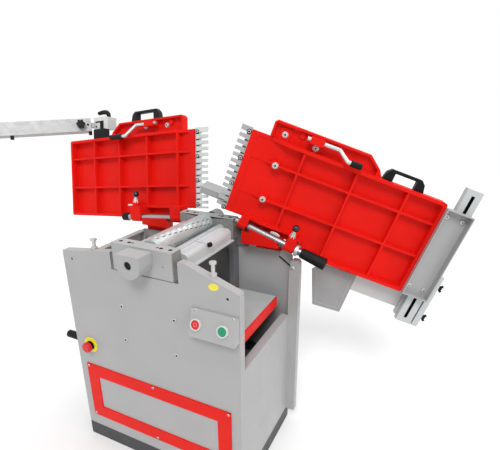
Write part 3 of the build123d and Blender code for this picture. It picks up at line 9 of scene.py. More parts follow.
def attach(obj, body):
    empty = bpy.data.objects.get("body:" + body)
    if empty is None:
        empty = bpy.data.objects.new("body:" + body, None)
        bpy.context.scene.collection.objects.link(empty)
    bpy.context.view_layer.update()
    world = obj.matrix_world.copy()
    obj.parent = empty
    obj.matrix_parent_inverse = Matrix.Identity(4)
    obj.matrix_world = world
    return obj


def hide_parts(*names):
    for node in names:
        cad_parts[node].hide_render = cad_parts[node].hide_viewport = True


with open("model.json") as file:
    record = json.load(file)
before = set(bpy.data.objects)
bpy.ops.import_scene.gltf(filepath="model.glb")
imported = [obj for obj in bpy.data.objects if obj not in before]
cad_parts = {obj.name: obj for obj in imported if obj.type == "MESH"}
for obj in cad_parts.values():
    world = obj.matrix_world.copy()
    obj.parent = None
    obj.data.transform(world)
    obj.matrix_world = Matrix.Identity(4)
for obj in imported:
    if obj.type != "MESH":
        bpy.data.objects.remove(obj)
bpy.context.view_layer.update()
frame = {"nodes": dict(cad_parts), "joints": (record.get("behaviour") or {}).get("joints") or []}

nodes = frame["nodes"]
joints = {joint["name"]: joint for joint in frame["joints"]}
MM = 0.001


# ---- materials ----

# Span over which a noise really moves, spans for edges tinted as wear and painted highlight, and sockets of the
# colour mix node
NOISE_SPAN, EDGE_SPAN, WEAR_AND_HIGHLIGHT_SPAN, DUST_SPAN = (0.3, 0.7), (0.995, 0.85), (0.42, 0.62), (0.5, 0.7)
MIX_SHARE, MIX_ONE, MIX_TWO, MIX_OUT = 0, 6, 7, 2
BEVEL_SAMPLES = 4
BUMP_HEIGHT = 0.0004
LEAST_ROUGH = 0.02


def shade(colour, factor):
    """A colour made lighter or darker, with its alpha kept at 1."""
    return (*[min(1.0, channel * factor) for channel in colour[:3]], 1.0)


class Surface:
    """A procedural material: base colour, blotches, grain, streaks, edges tinted as wear and painted highlight,
    and rounded edge normals.
    """

    def __init__(self, name, colour, rough, metal=0.0):
        self.material = bpy.data.materials.new(name)
        self.material.use_nodes = True
        self.material.diffuse_color = (*colour, 1.0)
        self.tree = self.material.node_tree
        self.bsdf = self.tree.nodes["Principled BSDF"]
        self.bsdf.inputs["Metallic"].default_value = metal
        self.coords = self.add("ShaderNodeTexCoord").outputs["Object"]
        self.base = colour
        self.colour = None
        self.rough_value = rough
        self.rough = None
        self.normal = None

    def add(self, kind, **values):
        node = self.tree.nodes.new(kind)
        for key, value in values.items():
            setattr(node, key, value)
        return node

    def link(self, source, target):
        self.tree.links.new(source, target)

    def noise(self, scale, detail=3.0, stretch=None, roughness=0.5):
        """Noise in the object's own metres, drawn out along an axis where stretch is given."""
        node = self.add("ShaderNodeTexNoise")
        node.inputs["Scale"].default_value = scale
        node.inputs["Detail"].default_value = detail
        node.inputs["Roughness"].default_value = roughness
        source = self.coords
        if stretch:
            mapping = self.add("ShaderNodeMapping")
            mapping.inputs["Scale"].default_value = stretch
            self.link(source, mapping.inputs["Vector"])
            source = mapping.outputs["Vector"]
        self.link(source, node.inputs["Vector"])
        return node.outputs["Fac"]

    def spread(self, source, span, to_low, to_high):
        """Carries a value from a span to new ends."""
        node = self.add("ShaderNodeMapRange")
        node.inputs["From Min"].default_value, node.inputs["From Max"].default_value = span
        node.inputs["To Min"].default_value = to_low
        node.inputs["To Max"].default_value = to_high
        self.link(source, node.inputs["Value"])
        return node.outputs["Result"]

    def times(self, one, two):
        node = self.add("ShaderNodeMath", operation="MULTIPLY")
        self.link(one, node.inputs[0])
        self.link(two, node.inputs[1])
        return node.outputs[0]

    def mix(self, share, one, two):
        """Mix of two colours; each value may be fixed or come from a node."""
        node = self.add("ShaderNodeMix", data_type="RGBA")
        for number, value in ((MIX_SHARE, share), (MIX_ONE, one), (MIX_TWO, two)):
            if isinstance(value, (float, tuple)):
                node.inputs[number].default_value = value
            else:
                self.link(value, node.inputs[number])
        return node.outputs[MIX_OUT]

    def toned(self, mask, amount):
        """The base colour, darker and lighter where a mask is low and high."""
        return self.mix(mask, shade(self.base, 1.0 - amount), shade(self.base, 1.0 + amount))

    def blotches(self, amount, scale=7.0):
        """Slow change of tone over the surface. Every surface starts with it."""
        self.colour = self.toned(self.spread(self.noise(scale), NOISE_SPAN, 0.0, 1.0), amount)
        return self

    def tint(self, mask, colour):
        self.colour = self.mix(mask, self.colour, (*colour, 1.0))
        return self

    def specks(self, colour, scale, span, amount):
        """Small spots where a fine noise is high."""
        return self.tint(self.spread(self.noise(scale, detail=4.0), span, 0.0, amount), colour)

    def streaks(self, stretch, scale, amount, strength):
        """Brushed or drawn lines along one axis."""
        lines = self.noise(scale, detail=4.0, stretch=stretch, roughness=0.65)
        drawn = self.toned(self.spread(lines, NOISE_SPAN, 0.0, 1.0), amount)
        self.colour = self.mix(0.5, self.colour, drawn)
        return self.bump(lines, strength)

    def bump(self, height, strength, distance=BUMP_HEIGHT):
        node = self.add("ShaderNodeBump")
        node.inputs["Strength"].default_value = strength
        node.inputs["Distance"].default_value = distance
        self.link(height, node.inputs["Height"])
        if self.normal:
            self.link(self.normal, node.inputs["Normal"])
        self.normal = node.outputs["Normal"]
        return self

    def grain(self, scale, strength, distance=BUMP_HEIGHT):
        return self.bump(self.noise(scale, detail=2.0), strength, distance)

    def rounded(self, radius):
        """Normal that rounds sharp edges."""
        bevel = self.add("ShaderNodeBevel", samples=BEVEL_SAMPLES)
        bevel.inputs["Radius"].default_value = radius
        return bevel.outputs["Normal"]

    def soft_edges(self, radius):
        """Rounds the look of sharp edges, before any bump is added."""
        self.normal = self.rounded(radius)
        return self

    def edge_wear_and_highlight(self, colour, radius, amount):
        """Edge colour along edges, broken up by noise: partly wear, partly painted highlight where the edge
        colour is lighter than the paint.
        """
        geometry = self.add("ShaderNodeNewGeometry")
        dot = self.add("ShaderNodeVectorMath", operation="DOT_PRODUCT")
        self.link(self.rounded(radius), dot.inputs[0])
        self.link(geometry.outputs["True Normal"], dot.inputs[1])
        edge = self.spread(dot.outputs["Value"], EDGE_SPAN, 0.0, 1.0)
        patchy = self.spread(self.noise(90.0, detail=5.0), WEAR_AND_HIGHLIGHT_SPAN, 0.0, amount)
        return self.tint(self.times(edge, patchy), colour)

    def uneven(self, amount, scale=25.0):
        """Roughness that changes over the surface."""
        low, high = self.rough_value - amount, self.rough_value + amount
        self.rough = self.spread(self.noise(scale), NOISE_SPAN, max(LEAST_ROUGH, low), min(1.0, high))
        return self

    def done(self, specular=0.5):
        self.bsdf.inputs["Specular IOR Level"].default_value = specular
        self.link(self.colour, self.bsdf.inputs["Base Color"])
        self.link(self.normal, self.bsdf.inputs["Normal"])
        if self.rough:
            self.link(self.rough, self.bsdf.inputs["Roughness"])
        else:
            self.bsdf.inputs["Roughness"].default_value = self.rough_value
        return self.material


def painted(name, colour, rough, vary, grain, edge=None, specular=0.3):
    """Paint or powder coat over metal, its edges tinted where an edge colour is given: partly wear, partly
    painted highlight.
    """
    edge_radius, wear_and_highlight = 0.0012, 0.35
    surface = Surface(name, colour, rough).blotches(vary)
    if edge:
        surface.edge_wear_and_highlight(edge, edge_radius, wear_and_highlight)
    return surface.soft_edges(edge_radius).grain(*grain).uneven(0.06).done(specular)


def metal(name, colour, rough, vary, stretch, scale, soft=0.0006, spots=None, share=1.0):
    """Bare metal with drawn or ground lines along one axis; share is how metallic it is."""
    surface = Surface(name, colour, rough, share).blotches(vary, scale=12.0).soft_edges(soft)
    surface.streaks(stretch, scale, vary, strength=0.12)
    if spots:
        surface.specks(*spots)
    return surface.uneven(0.08, scale=40.0).done(specular=0.3)


# Grains are scale, strength and depth; lines are the stretch of their noise along X, Y and Z
MATT, FINE, SMOOTH, COAT = (1600.0, 0.25, 0.0003), (1200.0, 0.05), (900.0, 0.07), (1100.0, 0.2)
CASTING = (240.0, 0.17, 0.0006)
ALONG_X, ALONG_Y, ALL_WAYS = (1.0, 50.0, 50.0), (50.0, 1.0, 50.0), (20.0, 20.0, 20.0)
LIP_LINES = (40.0, 2.0, 40.0)
PITS = ((0.09, 0.09, 0.09), 150.0, (0.56, 0.70), 0.6)


def moulded(name, colour, rough, grain=MATT, vary=0.12, dust=0.06, specular=0.4):
    """Moulded plastic with a fine grain and a trace of dust."""
    edge_radius, dust_scale = 0.001, 60.0
    surface = Surface(name, colour, rough).blotches(vary, scale=14.0)
    surface.specks(shade(colour, 1.6)[:3], dust_scale, DUST_SPAN, dust)
    return surface.soft_edges(edge_radius).grain(*grain).uneven(0.07, scale=30.0).done(specular)


# The colour after the grain is the edge colour: wear along the edges, and on the grey paints a lighter painted
# highlight.
red_cast = painted("red_cast_paint", (0.74, 0.0105, 0.006), 0.5, 0.05, CASTING, (0.50, 0.008, 0.005), 0.10)
red_sheet = painted(
    "red_sheet_paint", (0.70, 0.012, 0.007), 0.46, 0.04, (900.0, 0.12), (0.45, 0.01, 0.008), 0.14)
grey_sheet = painted("grey_powder_coat", (0.385, 0.385, 0.385), 0.46, 0.03, COAT, (0.60, 0.60, 0.60))
cover_grey = painted("cover_grey_paint", (0.30, 0.30, 0.30), 0.42, 0.04, COAT, (0.44, 0.44, 0.44))
grey_dark = painted("grey_frame_paint", (0.15, 0.15, 0.155), 0.55, 0.12, CASTING, None, 0.2)
dark_paint = painted("dark_machine_paint", (0.055, 0.056, 0.06), 0.5, 0.12, (300.0, 0.2))
cast_iron = metal("cast_iron", (0.25, 0.25, 0.245), 0.6, 0.22, ALL_WAYS, 6.0, 0.001, PITS, 0.1)
block_top = metal("milled_iron", (0.40, 0.41, 0.41), 0.5, 0.07, ALONG_X, 9.0, 0.001, None, 0.1)
bed_iron = metal("planed_iron", (0.47, 0.51, 0.51), 0.5, 0.08, (1.0, 60.0, 1.0), 12.0, share=0.3)
planed_top = metal("planed_table_top", (0.42, 0.43, 0.43), 0.4, 0.1, (1.0, 90.0, 1.0), 14.0, share=0.45)
steel = metal("bright_steel", (0.56, 0.56, 0.55), 0.34, 0.12, ALONG_X, 16.0, share=0.75)
ground_steel = metal("ground_steel", (0.50, 0.54, 0.54), 0.34, 0.2, ALONG_Y, 14.0, share=0.3)
rod_steel = metal("drawn_rod", (0.27, 0.28, 0.28), 0.26, 0.10, ALONG_X, 14.0, share=0.92)
zinc = metal("zinc_plate", (0.56, 0.56, 0.55), 0.36, 0.1, (30.0, 4.0, 30.0), 10.0, share=0.6)
# Both comb lips are the same aluminium: the left lip's is painted lighter and the right lip's darker, as
# painted light.
lip_metal = metal("lip_aluminium", (0.42, 0.42, 0.42), 0.42, 0.2, LIP_LINES, 12.0, share=0.5)
lit_comb_metal = metal("comb_aluminium_lit", (0.58, 0.59, 0.59), 0.42, 0.16, LIP_LINES, 12.0, share=0.4)
alloy_x = metal("aluminium_profile_x", (0.50, 0.50, 0.50), 0.48, 0.04, ALONG_X, 14.0, share=0.35)
alloy_y = metal("aluminium_profile_y", (0.50, 0.53, 0.53), 0.48, 0.04, ALONG_Y, 14.0, share=0.2)
fence_alloy = metal("aluminium_fence", (0.35, 0.35, 0.35), 0.45, 0.05, ALONG_X, 14.0, share=0.35)
carbide = metal("carbide", (0.70, 0.73, 0.74), 0.22, 0.2, ALL_WAYS, 30.0, share=0.3)
black = moulded("black_plastic", (0.007, 0.007, 0.008), 0.48, specular=0.14)
black_gloss = moulded("black_phenolic", (0.010, 0.010, 0.011), 0.2, (300.0, 0.05), specular=0.45)
black_oxide = metal("black_oxide", (0.03, 0.03, 0.032), 0.45, 0.2, ALL_WAYS, 60.0, share=0.6)
rubber = moulded("belt_rubber", (0.018, 0.018, 0.018), 0.7, (900.0, 0.4), specular=0.2)
white = moulded("white_plastic", (0.58, 0.58, 0.57), 0.38, SMOOTH, 0.03)
scale_white = moulded("scale_white", (0.58, 0.60, 0.63), 0.42, FINE, 0.03)
slider_white = moulded("slider_white", (0.50, 0.52, 0.53), 0.42, FINE, 0.03)
mark_white = moulded("mark_white", (0.62, 0.30, 0.30), 0.45, FINE, 0.03)
mark_yellow = moulded("mark_yellow", (0.78, 0.68, 0.06), 0.5, FINE, 0.06)
yellow = moulded("yellow_plastic", (0.86, 0.72, 0.012), 0.4, SMOOTH, 0.04)
red_plastic = moulded("red_plastic", (0.60, 0.012, 0.016), 0.36, SMOOTH, 0.05)
green_plastic = moulded("green_plastic", (0.006, 0.27, 0.12), 0.36, SMOOTH, 0.05)
ink = moulded("scale_ink", (0.03, 0.035, 0.09), 0.55)


# ---- places of the CAD, in millimetres with the tables closed ----

LEFT, RIGHT = "left_table_swing", "right_table_swing"
X_WAY, Y_WAY, Z_WAY = (1, 0, 0), (0, 1, 0), (0, 0, 1)
FRONT, DOWN = (0, -1, 0), (0, 0, -1)
SKIN = 0.1
TABLE_TOP, LIP_BOTTOM, CUTTER_Z = 870.0, 856.0, 835.0
PANEL_Y, REAR_Y = -215.0, 215.0
BLOCK_FRONT_Y, BLOCK_TOP = -213.0, 860.0
LEFT_PLUNGER_X, RIGHT_PLUNGER_X = -371.0, 338.0

# The control box's face leans back by LEAN over a height of RISE
BOX_FOOT_Y, BOX_FOOT_Z, LEAN, RISE = -247.0, 618.0, 26.0, 83.0
BOX_NORMAL = Vector((0.0, -RISE, LEAN)).normalized()
STOP_X, START_X, BUTTON_Z = 206.0, 297.0, 657.0


def box_face(x, z, proud=0.0):
    """Point on the sloping face of the control box."""
    return Vector((x, BOX_FOOT_Y + (z - BOX_FOOT_Z) * LEAN / RISE, z)) + BOX_NORMAL * proud


def left_rod(x):
    """Point on the axis of the left hinge rod, which falls by 6 degrees."""
    return Vector((x, 199.7, 838.1 - abs(x) * math.tan(math.radians(6.0))))


def right_rod(x):
    """Point on the axis of the right hinge rod, which falls by 18.5 degrees."""
    return Vector((x, 175.9, 898.4 - abs(x) * math.tan(math.radians(18.5))))


# The guard arm's fold pin, the way it points, and the ways along and out of the arm's face
GUARD_TURN, GUARD_FOLD = math.radians(10.5), math.radians(50.3)
FOLD_PIN = Vector((-754.0, -237.5, 912.0))
PIN_WAY = Vector((-math.sin(GUARD_TURN), -math.cos(GUARD_TURN), 0.0))
ARM_OUT = Vector((-math.cos(GUARD_TURN), math.sin(GUARD_TURN), 0.0))
ARM_WAY = ARM_OUT * math.cos(GUARD_FOLD) - Vector((0.0, 0.0, math.sin(GUARD_FOLD)))
ARM_FACE = PIN_WAY.cross(ARM_WAY)

# Where one node changes its material
BEZEL_PROUD = 0.2
HOLE_DEPTH, HOLE_NEAR_Y, HOLE_FAR_Y, HOLE_END_X = 6.0, 160.0, 212.5, 117.0
GULLET_R, GULLET_END_Y = 33.4, 163.0
ESTOP_FACE_Y = -218.5
ROD_CAP_X = -404.0
LEFT_GRIP_X, RIGHT_GRIP_X = -449.0, 423.0
PLUNGER_BALL_Y = 117.5
ARM_KNOB_WAY = -31.1
POST_FOOT_Y = -203.5
SLOT_X, SLOT_HALF, SLOT_LOW, SLOT_HIGH = 862.0, 6.2, 840.2, 856.2
LIFT_TOP, LIFT_R = 520.0, 19.0
BAND_X, BAND_TOP = 299.9, 585.5
BEAM_X = 80.0
COVER_TOP = 873.9


# ---- painting the CAD nodes ----

def paint(material, *names):
    for name in names:
        slots = nodes[name].material_slots
        if not slots:
            nodes[name].data.materials.append(material)
        for slot in slots:
            slot.material = material


def closed_point(point, swing):
    """Where a point of an open table lies when the table is closed, in millimetres."""
    if not swing:
        return point / MM
    joint = joints[swing]
    turn = Matrix.Rotation(math.radians(joint["range_deg"][0]), 3, Vector(joint["axis"]))
    pivot = Vector(joint["pos_m"])
    return (turn @ (point - pivot) + pivot) / MM


def paint_parts(name, main, parts, swing=None):
    """Main material, with others on the faces whose middle passes a test, in closed millimetres."""
    mesh = nodes[name].data
    mesh.materials.clear()
    mesh.materials.append(main)
    for material, _ in parts:
        mesh.materials.append(material)
    for face in mesh.polygons:
        middle = closed_point(face.center, swing)
        face.material_index = 0
        for number, (_, test) in enumerate(parts):
            if test(middle):
                face.material_index = number + 1


def on_bezel(p):
    return (p - box_face(0, BUTTON_Z)).dot(BOX_NORMAL) > BEZEL_PROUD


def in_block_hole(p):
    """Floors and walls of the holes in the end blocks' tops, painted dark as shade."""
    deep = BLOCK_TOP - HOLE_DEPTH - SKIN < p.z < BLOCK_TOP - 2 * SKIN
    return deep and HOLE_NEAR_Y < abs(p.y) < HOLE_FAR_Y and abs(p.x) < HOLE_END_X


# Gullets between the cutter inserts are painted dark as shade in the hollows.
def in_gullet(p):
    return math.hypot(p.x, p.z - CUTTER_Z) < GULLET_R and abs(p.y) < GULLET_END_Y


def in_bar_slot(p):
    return abs(p.x - SLOT_X) < SLOT_HALF and SLOT_LOW < p.z < SLOT_HIGH


paint(grey_sheet, "front_panel", "rear_and_side_panels", "belt_guard", "bearing_cover", "end_channel")
paint(dark_paint, "base_tray", "motor", "cutter_bearings")
paint(grey_dark, "inner_frame")
paint(red_sheet, "door_frame")
paint(red_cast, "hinge_brackets")
# The left lip is painted lighter than the right lip, as painted light.
paint(lit_comb_metal, "left_lip")
paint(lip_metal, "right_lip", "guard_holder")
paint(zinc, "left_table_screws", "right_table_screws", "front_screws", "stop_pins", "depth_collar")
paint(black, "left_handle", "right_handle", "guard_lever", "guard_knob", "crank_grip", "slider_knob")
paint(black, "depth_grip", "front_clamp_knob", "rear_clamp_knob", "cable_gland")
paint(cast_iron, "motor_pulley", "cutter_pulley", "nut_gear")
paint(steel, "crank")
paint(ground_steel, "infeed_roller", "outfeed_roller")
paint(carbide, "cutter_inserts")
paint(rubber, "drive_belt")
paint(slider_white, "rule_slider")
paint(fence_alloy, "fence")
paint(alloy_y, "fence_carriage")
paint(red_plastic, "stop_button", "estop_cap")
paint(green_plastic, "start_button")

paint_parts("control_box", grey_sheet, [(white, on_bezel)])
paint_parts("end_blocks", cast_iron, [
    (block_top, lambda p: p.z > BLOCK_TOP - SKIN),
    (black_oxide, in_block_hole),
    (grey_sheet, lambda p: p.y < BLOCK_FRONT_Y + SKIN),
])
for table, table_swing in (("left_table", LEFT), ("right_table", RIGHT)):
    paint_parts(table, red_cast, [(planed_top, lambda p: p.z > TABLE_TOP - SKIN)], table_swing)
paint_parts("cutterblock", ground_steel, [(black_oxide, in_gullet)])
paint_parts("estop_base", yellow, [(black, lambda p: p.y < ESTOP_FACE_Y)])
paint_parts("hinge_rods", rod_steel, [(black, lambda p: p.x < ROD_CAP_X)])
paint_parts("left_clamp_lever", steel, [(black, lambda p: p.x < LEFT_GRIP_X)], LEFT)
paint_parts("right_clamp_lever", steel, [(black, lambda p: p.x > RIGHT_GRIP_X)], RIGHT)
paint_parts("left_plunger", steel, [(black_gloss, lambda p: p.y < PLUNGER_BALL_Y)], LEFT)
paint_parts("right_plunger", steel, [(black_gloss, lambda p: p.y < PLUNGER_BALL_Y)], RIGHT)
paint_parts("guard_arm", fence_alloy, [(black, lambda p: (p - FOLD_PIN).dot(PIN_WAY) < ARM_KNOB_WAY)], LEFT)
paint_parts("guard_post", zinc, [(black, lambda p: p.y > POST_FOOT_Y)], LEFT)
paint_parts("guide_bar", alloy_y, [(black, in_bar_slot)], RIGHT)
paint_parts("thickness_table", bed_iron, [
    (steel, lambda p: p.z < LIFT_TOP and abs(p.x) < LIFT_R),
    (red_sheet, lambda p: abs(p.x) > BAND_X and p.z < BAND_TOP),
])
paint_parts("bed_rails", ground_steel, [(alloy_y, lambda p: p.x > BEAM_X)])
paint_parts("fence_base", alloy_x, [(cover_grey, lambda p: p.z < COVER_TOP)], RIGHT)


# ---- building pieces in closed millimetres ----

SMOOTH_ANGLE, BEVEL_ANGLE = math.radians(38.0), math.radians(40.0)


def placing(swing=None):
    """Turns closed millimetres into metres, with the table swung open where a swing is named."""
    scale = Matrix.Scale(MM, 4)
    if not swing:
        return scale
    joint = joints[swing]
    turn = Matrix.Rotation(-math.radians(joint["range_deg"][0]), 4, Vector(joint["axis"]))
    pivot = Matrix.Translation(Vector(joint["pos_m"]))
    return pivot @ turn @ pivot.inverted() @ scale


def across(axis):
    """Two directions square to an axis."""
    helper = Vector(Z_WAY) if abs(axis.z) < 0.9 else Vector(Y_WAY)
    one = helper.cross(axis).normalized()
    return one, axis.cross(one).normalized()


def rectangle(a0, a1, b0, b1):
    return [(a0, b0), (a1, b0), (a1, b1), (a0, b1)]


class Piece:
    """A mesh piece that rides a body, put together from turned, drawn-out and swept shapes."""

    def __init__(self, name, body, materials, swing=None):
        self.name = name
        self.body = body
        self.materials = materials
        self.swing = swing
        self.bm = bmesh.new()

    def face(self, corners, material):
        self.bm.faces.new(corners).material_index = material

    def band(self, low, high, material):
        """Faces between two rings of points."""
        for step in range(len(low)):
            after = (step + 1) % len(low)
            self.face((low[step], low[after], high[after], high[step]), material)

    def turned(self, place, axis, rings, material=0, steps=32, tube=False):
        """Rings (distance, radius, material) along an axis; a radius may be a function of the angle."""
        place, axis = Vector(place), Vector(axis).normalized()
        one, two = across(axis)
        loops = []
        bands = []
        for distance, radius, *own in rings:
            bands.append(own[0] if own else material)
            loop = []
            for step in range(steps):
                angle = 2 * math.pi * step / steps
                reach = radius(angle) if callable(radius) else radius
                out = one * math.cos(angle) + two * math.sin(angle)
                loop.append(self.bm.verts.new(place + axis * distance + out * reach))
            loops.append(loop)
        if tube:
            loops.append(loops[0])
            bands.append(material)
        for low, high, band in zip(loops, loops[1:], bands[1:]):
            self.band(low, high, band)
        if not tube:
            self.face(list(reversed(loops[0])), bands[0])
            self.face(loops[-1], bands[-1])

    def drawn(self, points, origin, one, two, depth, material=0):
        """Outline in the plane of two directions, drawn out along their normal."""
        origin, one, two = Vector(origin), Vector(one).normalized(), Vector(two).normalized()
        normal = one.cross(two)
        near = [self.bm.verts.new(origin + one * a + two * b) for a, b in points]
        far = [self.bm.verts.new(vert.co + normal * depth) for vert in near]
        self.face(list(reversed(near)), material)
        self.face(far, material)
        self.band(near, far, material)

    def swept(self, path, sections, material=0, steps=16):
        """Oval sections (half width, half height) along a path that lies in one plane."""
        path = [Vector(point) for point in path]
        normal = (path[1] - path[0]).cross(path[-1] - path[0]).normalized()
        loops = []
        for number, (point, (wide, high)) in enumerate(zip(path, sections)):
            before = path[max(0, number - 1)]
            after = path[min(len(path) - 1, number + 1)]
            side = (after - before).normalized().cross(normal)
            loop = []
            for step in range(steps):
                angle = 2 * math.pi * step / steps
                out = side * wide * math.cos(angle) + normal * high * math.sin(angle)
                loop.append(self.bm.verts.new(point + out))
            loops.append(loop)
        for low, high in zip(loops, loops[1:]):
            self.band(low, high, material)
        self.face(list(reversed(loops[0])), material)
        self.face(loops[-1], material)

    def done(self, bevel=0.0, replaces=None, slot=None):
        """Makes the object, rounds its edges and says what it rides and replaces."""
        bmesh.ops.recalc_face_normals(self.bm, faces=self.bm.faces)
        mesh = bpy.data.meshes.new(self.name)
        self.bm.to_mesh(mesh)
        self.bm.free()
        mesh.transform(placing(self.swing))
        for material in self.materials:
            mesh.materials.append(material)
        mesh.shade_smooth()
        mesh.set_sharp_from_angle(angle=SMOOTH_ANGLE)
        piece = bpy.data.objects.new(self.name, mesh)
        bpy.context.scene.collection.objects.link(piece)
        if bevel:
            rounding = piece.modifiers.new("edges", "BEVEL")
            rounding.width = bevel * MM
            rounding.segments = 2
            rounding.limit_method = "ANGLE"
            rounding.angle_limit = BEVEL_ANGLE
        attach(piece, self.body)
        if replaces:
            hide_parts(replaces)


def hexagon(across_flats):
    """Radius of a hexagon as a function of the angle."""
    def radius(angle):
        part = angle % (math.pi / 3) - math.pi / 6
        return across_flats / 2 / math.cos(part)
    return radius


def oval(wide, high):
    """Radius of an oval, half widths given, as a function of the angle."""
    return lambda angle: wide * high / math.hypot(high * math.cos(angle), wide * math.sin(angle))


def lobed(radius, depth, count):
    """Radius of a fluted or knurled round as a function of the angle."""
    return lambda angle: radius - depth * (0.5 - 0.5 * math.cos(count * angle))


# Screw heads: radius, height, width of the hexagon socket, rounding of the rim
PANEL_BOLT, COVER_SCREW = (8.0, 3.0, 8.0, 1.4), (4.5, 2.5, 4.6, 0.6)
LIP_SCREW, CASTING_BOLT, CHANNEL_SCREW = (6.0, 4.0, 6.8, 0.9), (8.6, 5.4, 7.0, 2.4), (8.5, 5.0, 5.0, 2.4)
FOOT_SCREW, ARM_STUD, BLOCK_SCREW = (4.5, 2.2, 4.0, 0.6), (5.0, 3.0, 4.6, 0.7), (5.5, 5.0, 5.0, 0.8)


def socket_head(piece, place, axis, radius, height, socket, rim):
    """Screw head with a rounded rim and a hexagon socket whose walls and floor take material 1, a dark colour
    of painted shade.
    """
    edge = 0.3
    piece.turned(place, axis, [
        (0.0, radius),
        (height - rim, radius),
        (height - rim * 0.3, radius - rim * 0.35),
        (height, radius - rim),
        (height, hexagon(socket)),
        (height - edge, hexagon(socket - edge)),
        (height * 0.35, hexagon(socket - edge), 1),
    ], steps=24)


def pan_head(piece, place, axis):
    """Domed screw head with a cross of dark bars (material 1), painted shade for its recesses."""
    radius, height, slot = 4.5, 2.5, 1.3
    piece.turned(place, axis, [
        (0.0, radius),
        (height * 0.35, radius),
        (height * 0.7, radius * 0.88),
        (height * 0.92, radius * 0.6),
        (height, radius * 0.25),
    ], steps=24)
    place, axis = Vector(place), Vector(axis).normalized()
    one, two = across(axis)
    arm = radius * 0.55
    outline = rectangle(-arm, arm, -slot / 2, slot / 2)
    for along, sideways in ((one, two), (two, one * -1)):
        piece.drawn(outline, place + axis * height * 0.5, along, sideways, height * 0.52, 1)


def bolt_head(piece, place):
    """Domed bolt head on a washer, facing down from a casting."""
    under_head = 1.6
    piece.turned(place, DOWN, [(0.0, 11.0), (1.2, 11.0), (under_head, 10.6)])
    socket_head(piece, Vector(place) - Vector((0, 0, under_head)), DOWN, *CASTING_BOLT)


# ---- pieces that the CAD nodes leave plain ----

def front_screws():
    """Heads on the front panel, the door frame, the control box and the front end block."""
    door_y = -219.0
    screws = Piece("front_screw_heads", "base", [zinc, black_oxide])
    for x in (-100.0, 111.0):
        for z in (506.0, 636.0):
            socket_head(screws, (x, PANEL_Y, z), FRONT, *PANEL_BOLT)
    for x in (-298.0, 0.0, 298.0):
        for z in (119.0, 341.0):
            pan_head(screws, (x, door_y, z), FRONT)
    for x in (198.0, 324.0):
        pan_head(screws, box_face(x, 697.0), BOX_NORMAL)
    socket_head(screws, (84.0, BLOCK_FRONT_Y, 812.0), FRONT, *COVER_SCREW)
    screws.done(replaces="front_screws")


def front_marks():
    """Plain yellow sticker, a ring on the stop button and a bar on the start button."""
    shape, tilt = oval(17.5, 11.5), math.radians(12.0)

    def tilted(angle):
        return shape(angle - tilt)

    sticker = Piece("plain_yellow_mark", "base", [mark_yellow])
    sticker.turned((258.0, PANEL_Y, 782.0), FRONT, [(-0.2, tilted), (0.25, tilted)], steps=48)
    sticker.done(slot="yellow_plastic")

    inner, outer, sunk, proud = 5.0, 6.4, -0.3, 0.25
    rings = [(sunk, outer), (proud, outer), (proud, inner), (sunk, inner)]
    ring = Piece("stop_mark", "stop_button", [mark_white])
    ring.turned(box_face(STOP_X, BUTTON_Z, 7.0), BOX_NORMAL, rings, steps=40, tube=True)
    ring.done()

    outline = rectangle(-0.9, 0.9, -6.0, 6.0)
    uphill = BOX_NORMAL.cross(Vector(X_WAY))
    bar = Piece("start_mark", "start_button", [ink])
    bar.drawn(outline, box_face(START_X, BUTTON_Z, 6.8), X_WAY, uphill, 0.45)
    bar.done(0.1)


def hole_shades():
    """Black cups behind the holes of the front panel and of the bearing cover: painted shade inside the holes.
    """
    behind_panel, behind_cover = -211.8, -270.8
    cups = Piece("hole_shades", "base", [black])
    for x, z in ((-302.0, 771.0), (303.0, 753.0)):
        cups.turned((x, behind_panel, z), Y_WAY, [(0.0, 6.5), (5.0, 6.5), (7.0, 4.5)])
    cups.turned((0.0, behind_cover, 823.0), Y_WAY, [(0.0, 17.0), (4.0, 17.0), (6.0, 14.0)])
    cups.done(0.3)


def rear_wall_lip():
    """Strip that closes the gap above the rear wall."""
    outline = [(96.0, 745.0), (192.0, 745.0), (192.0, 760.0), (112.0, 760.0)]
    lip = Piece("rear_wall_lip", "base", [grey_sheet])
    lip.drawn(outline, (0, REAR_Y, 0), X_WAY, Z_WAY, 3.0)
    lip.done(0.4)


def cover_fold():
    """Raised fold line inside the edges of the fence's rear cover."""
    half = 1.6
    corners = [Vector(corner) for corner in ((484.0, 262.0), (531.0, 384.0), (621.0, 377.0), (619.0, 236.0))]
    fold = Piece("cover_fold", "fence_carriage", [grey_sheet], RIGHT)
    for start, end in zip(corners, corners[1:]):
        side = Vector((start.y - end.y, end.x - start.x)).normalized() * half
        run = (end - start).normalized() * half
        bar = [start - run, start + side, end + side, end + run, end - side, start - side]
        fold.drawn(bar, (0, 0, 871.1), X_WAY, Y_WAY, -0.9)
    fold.done(0.2)


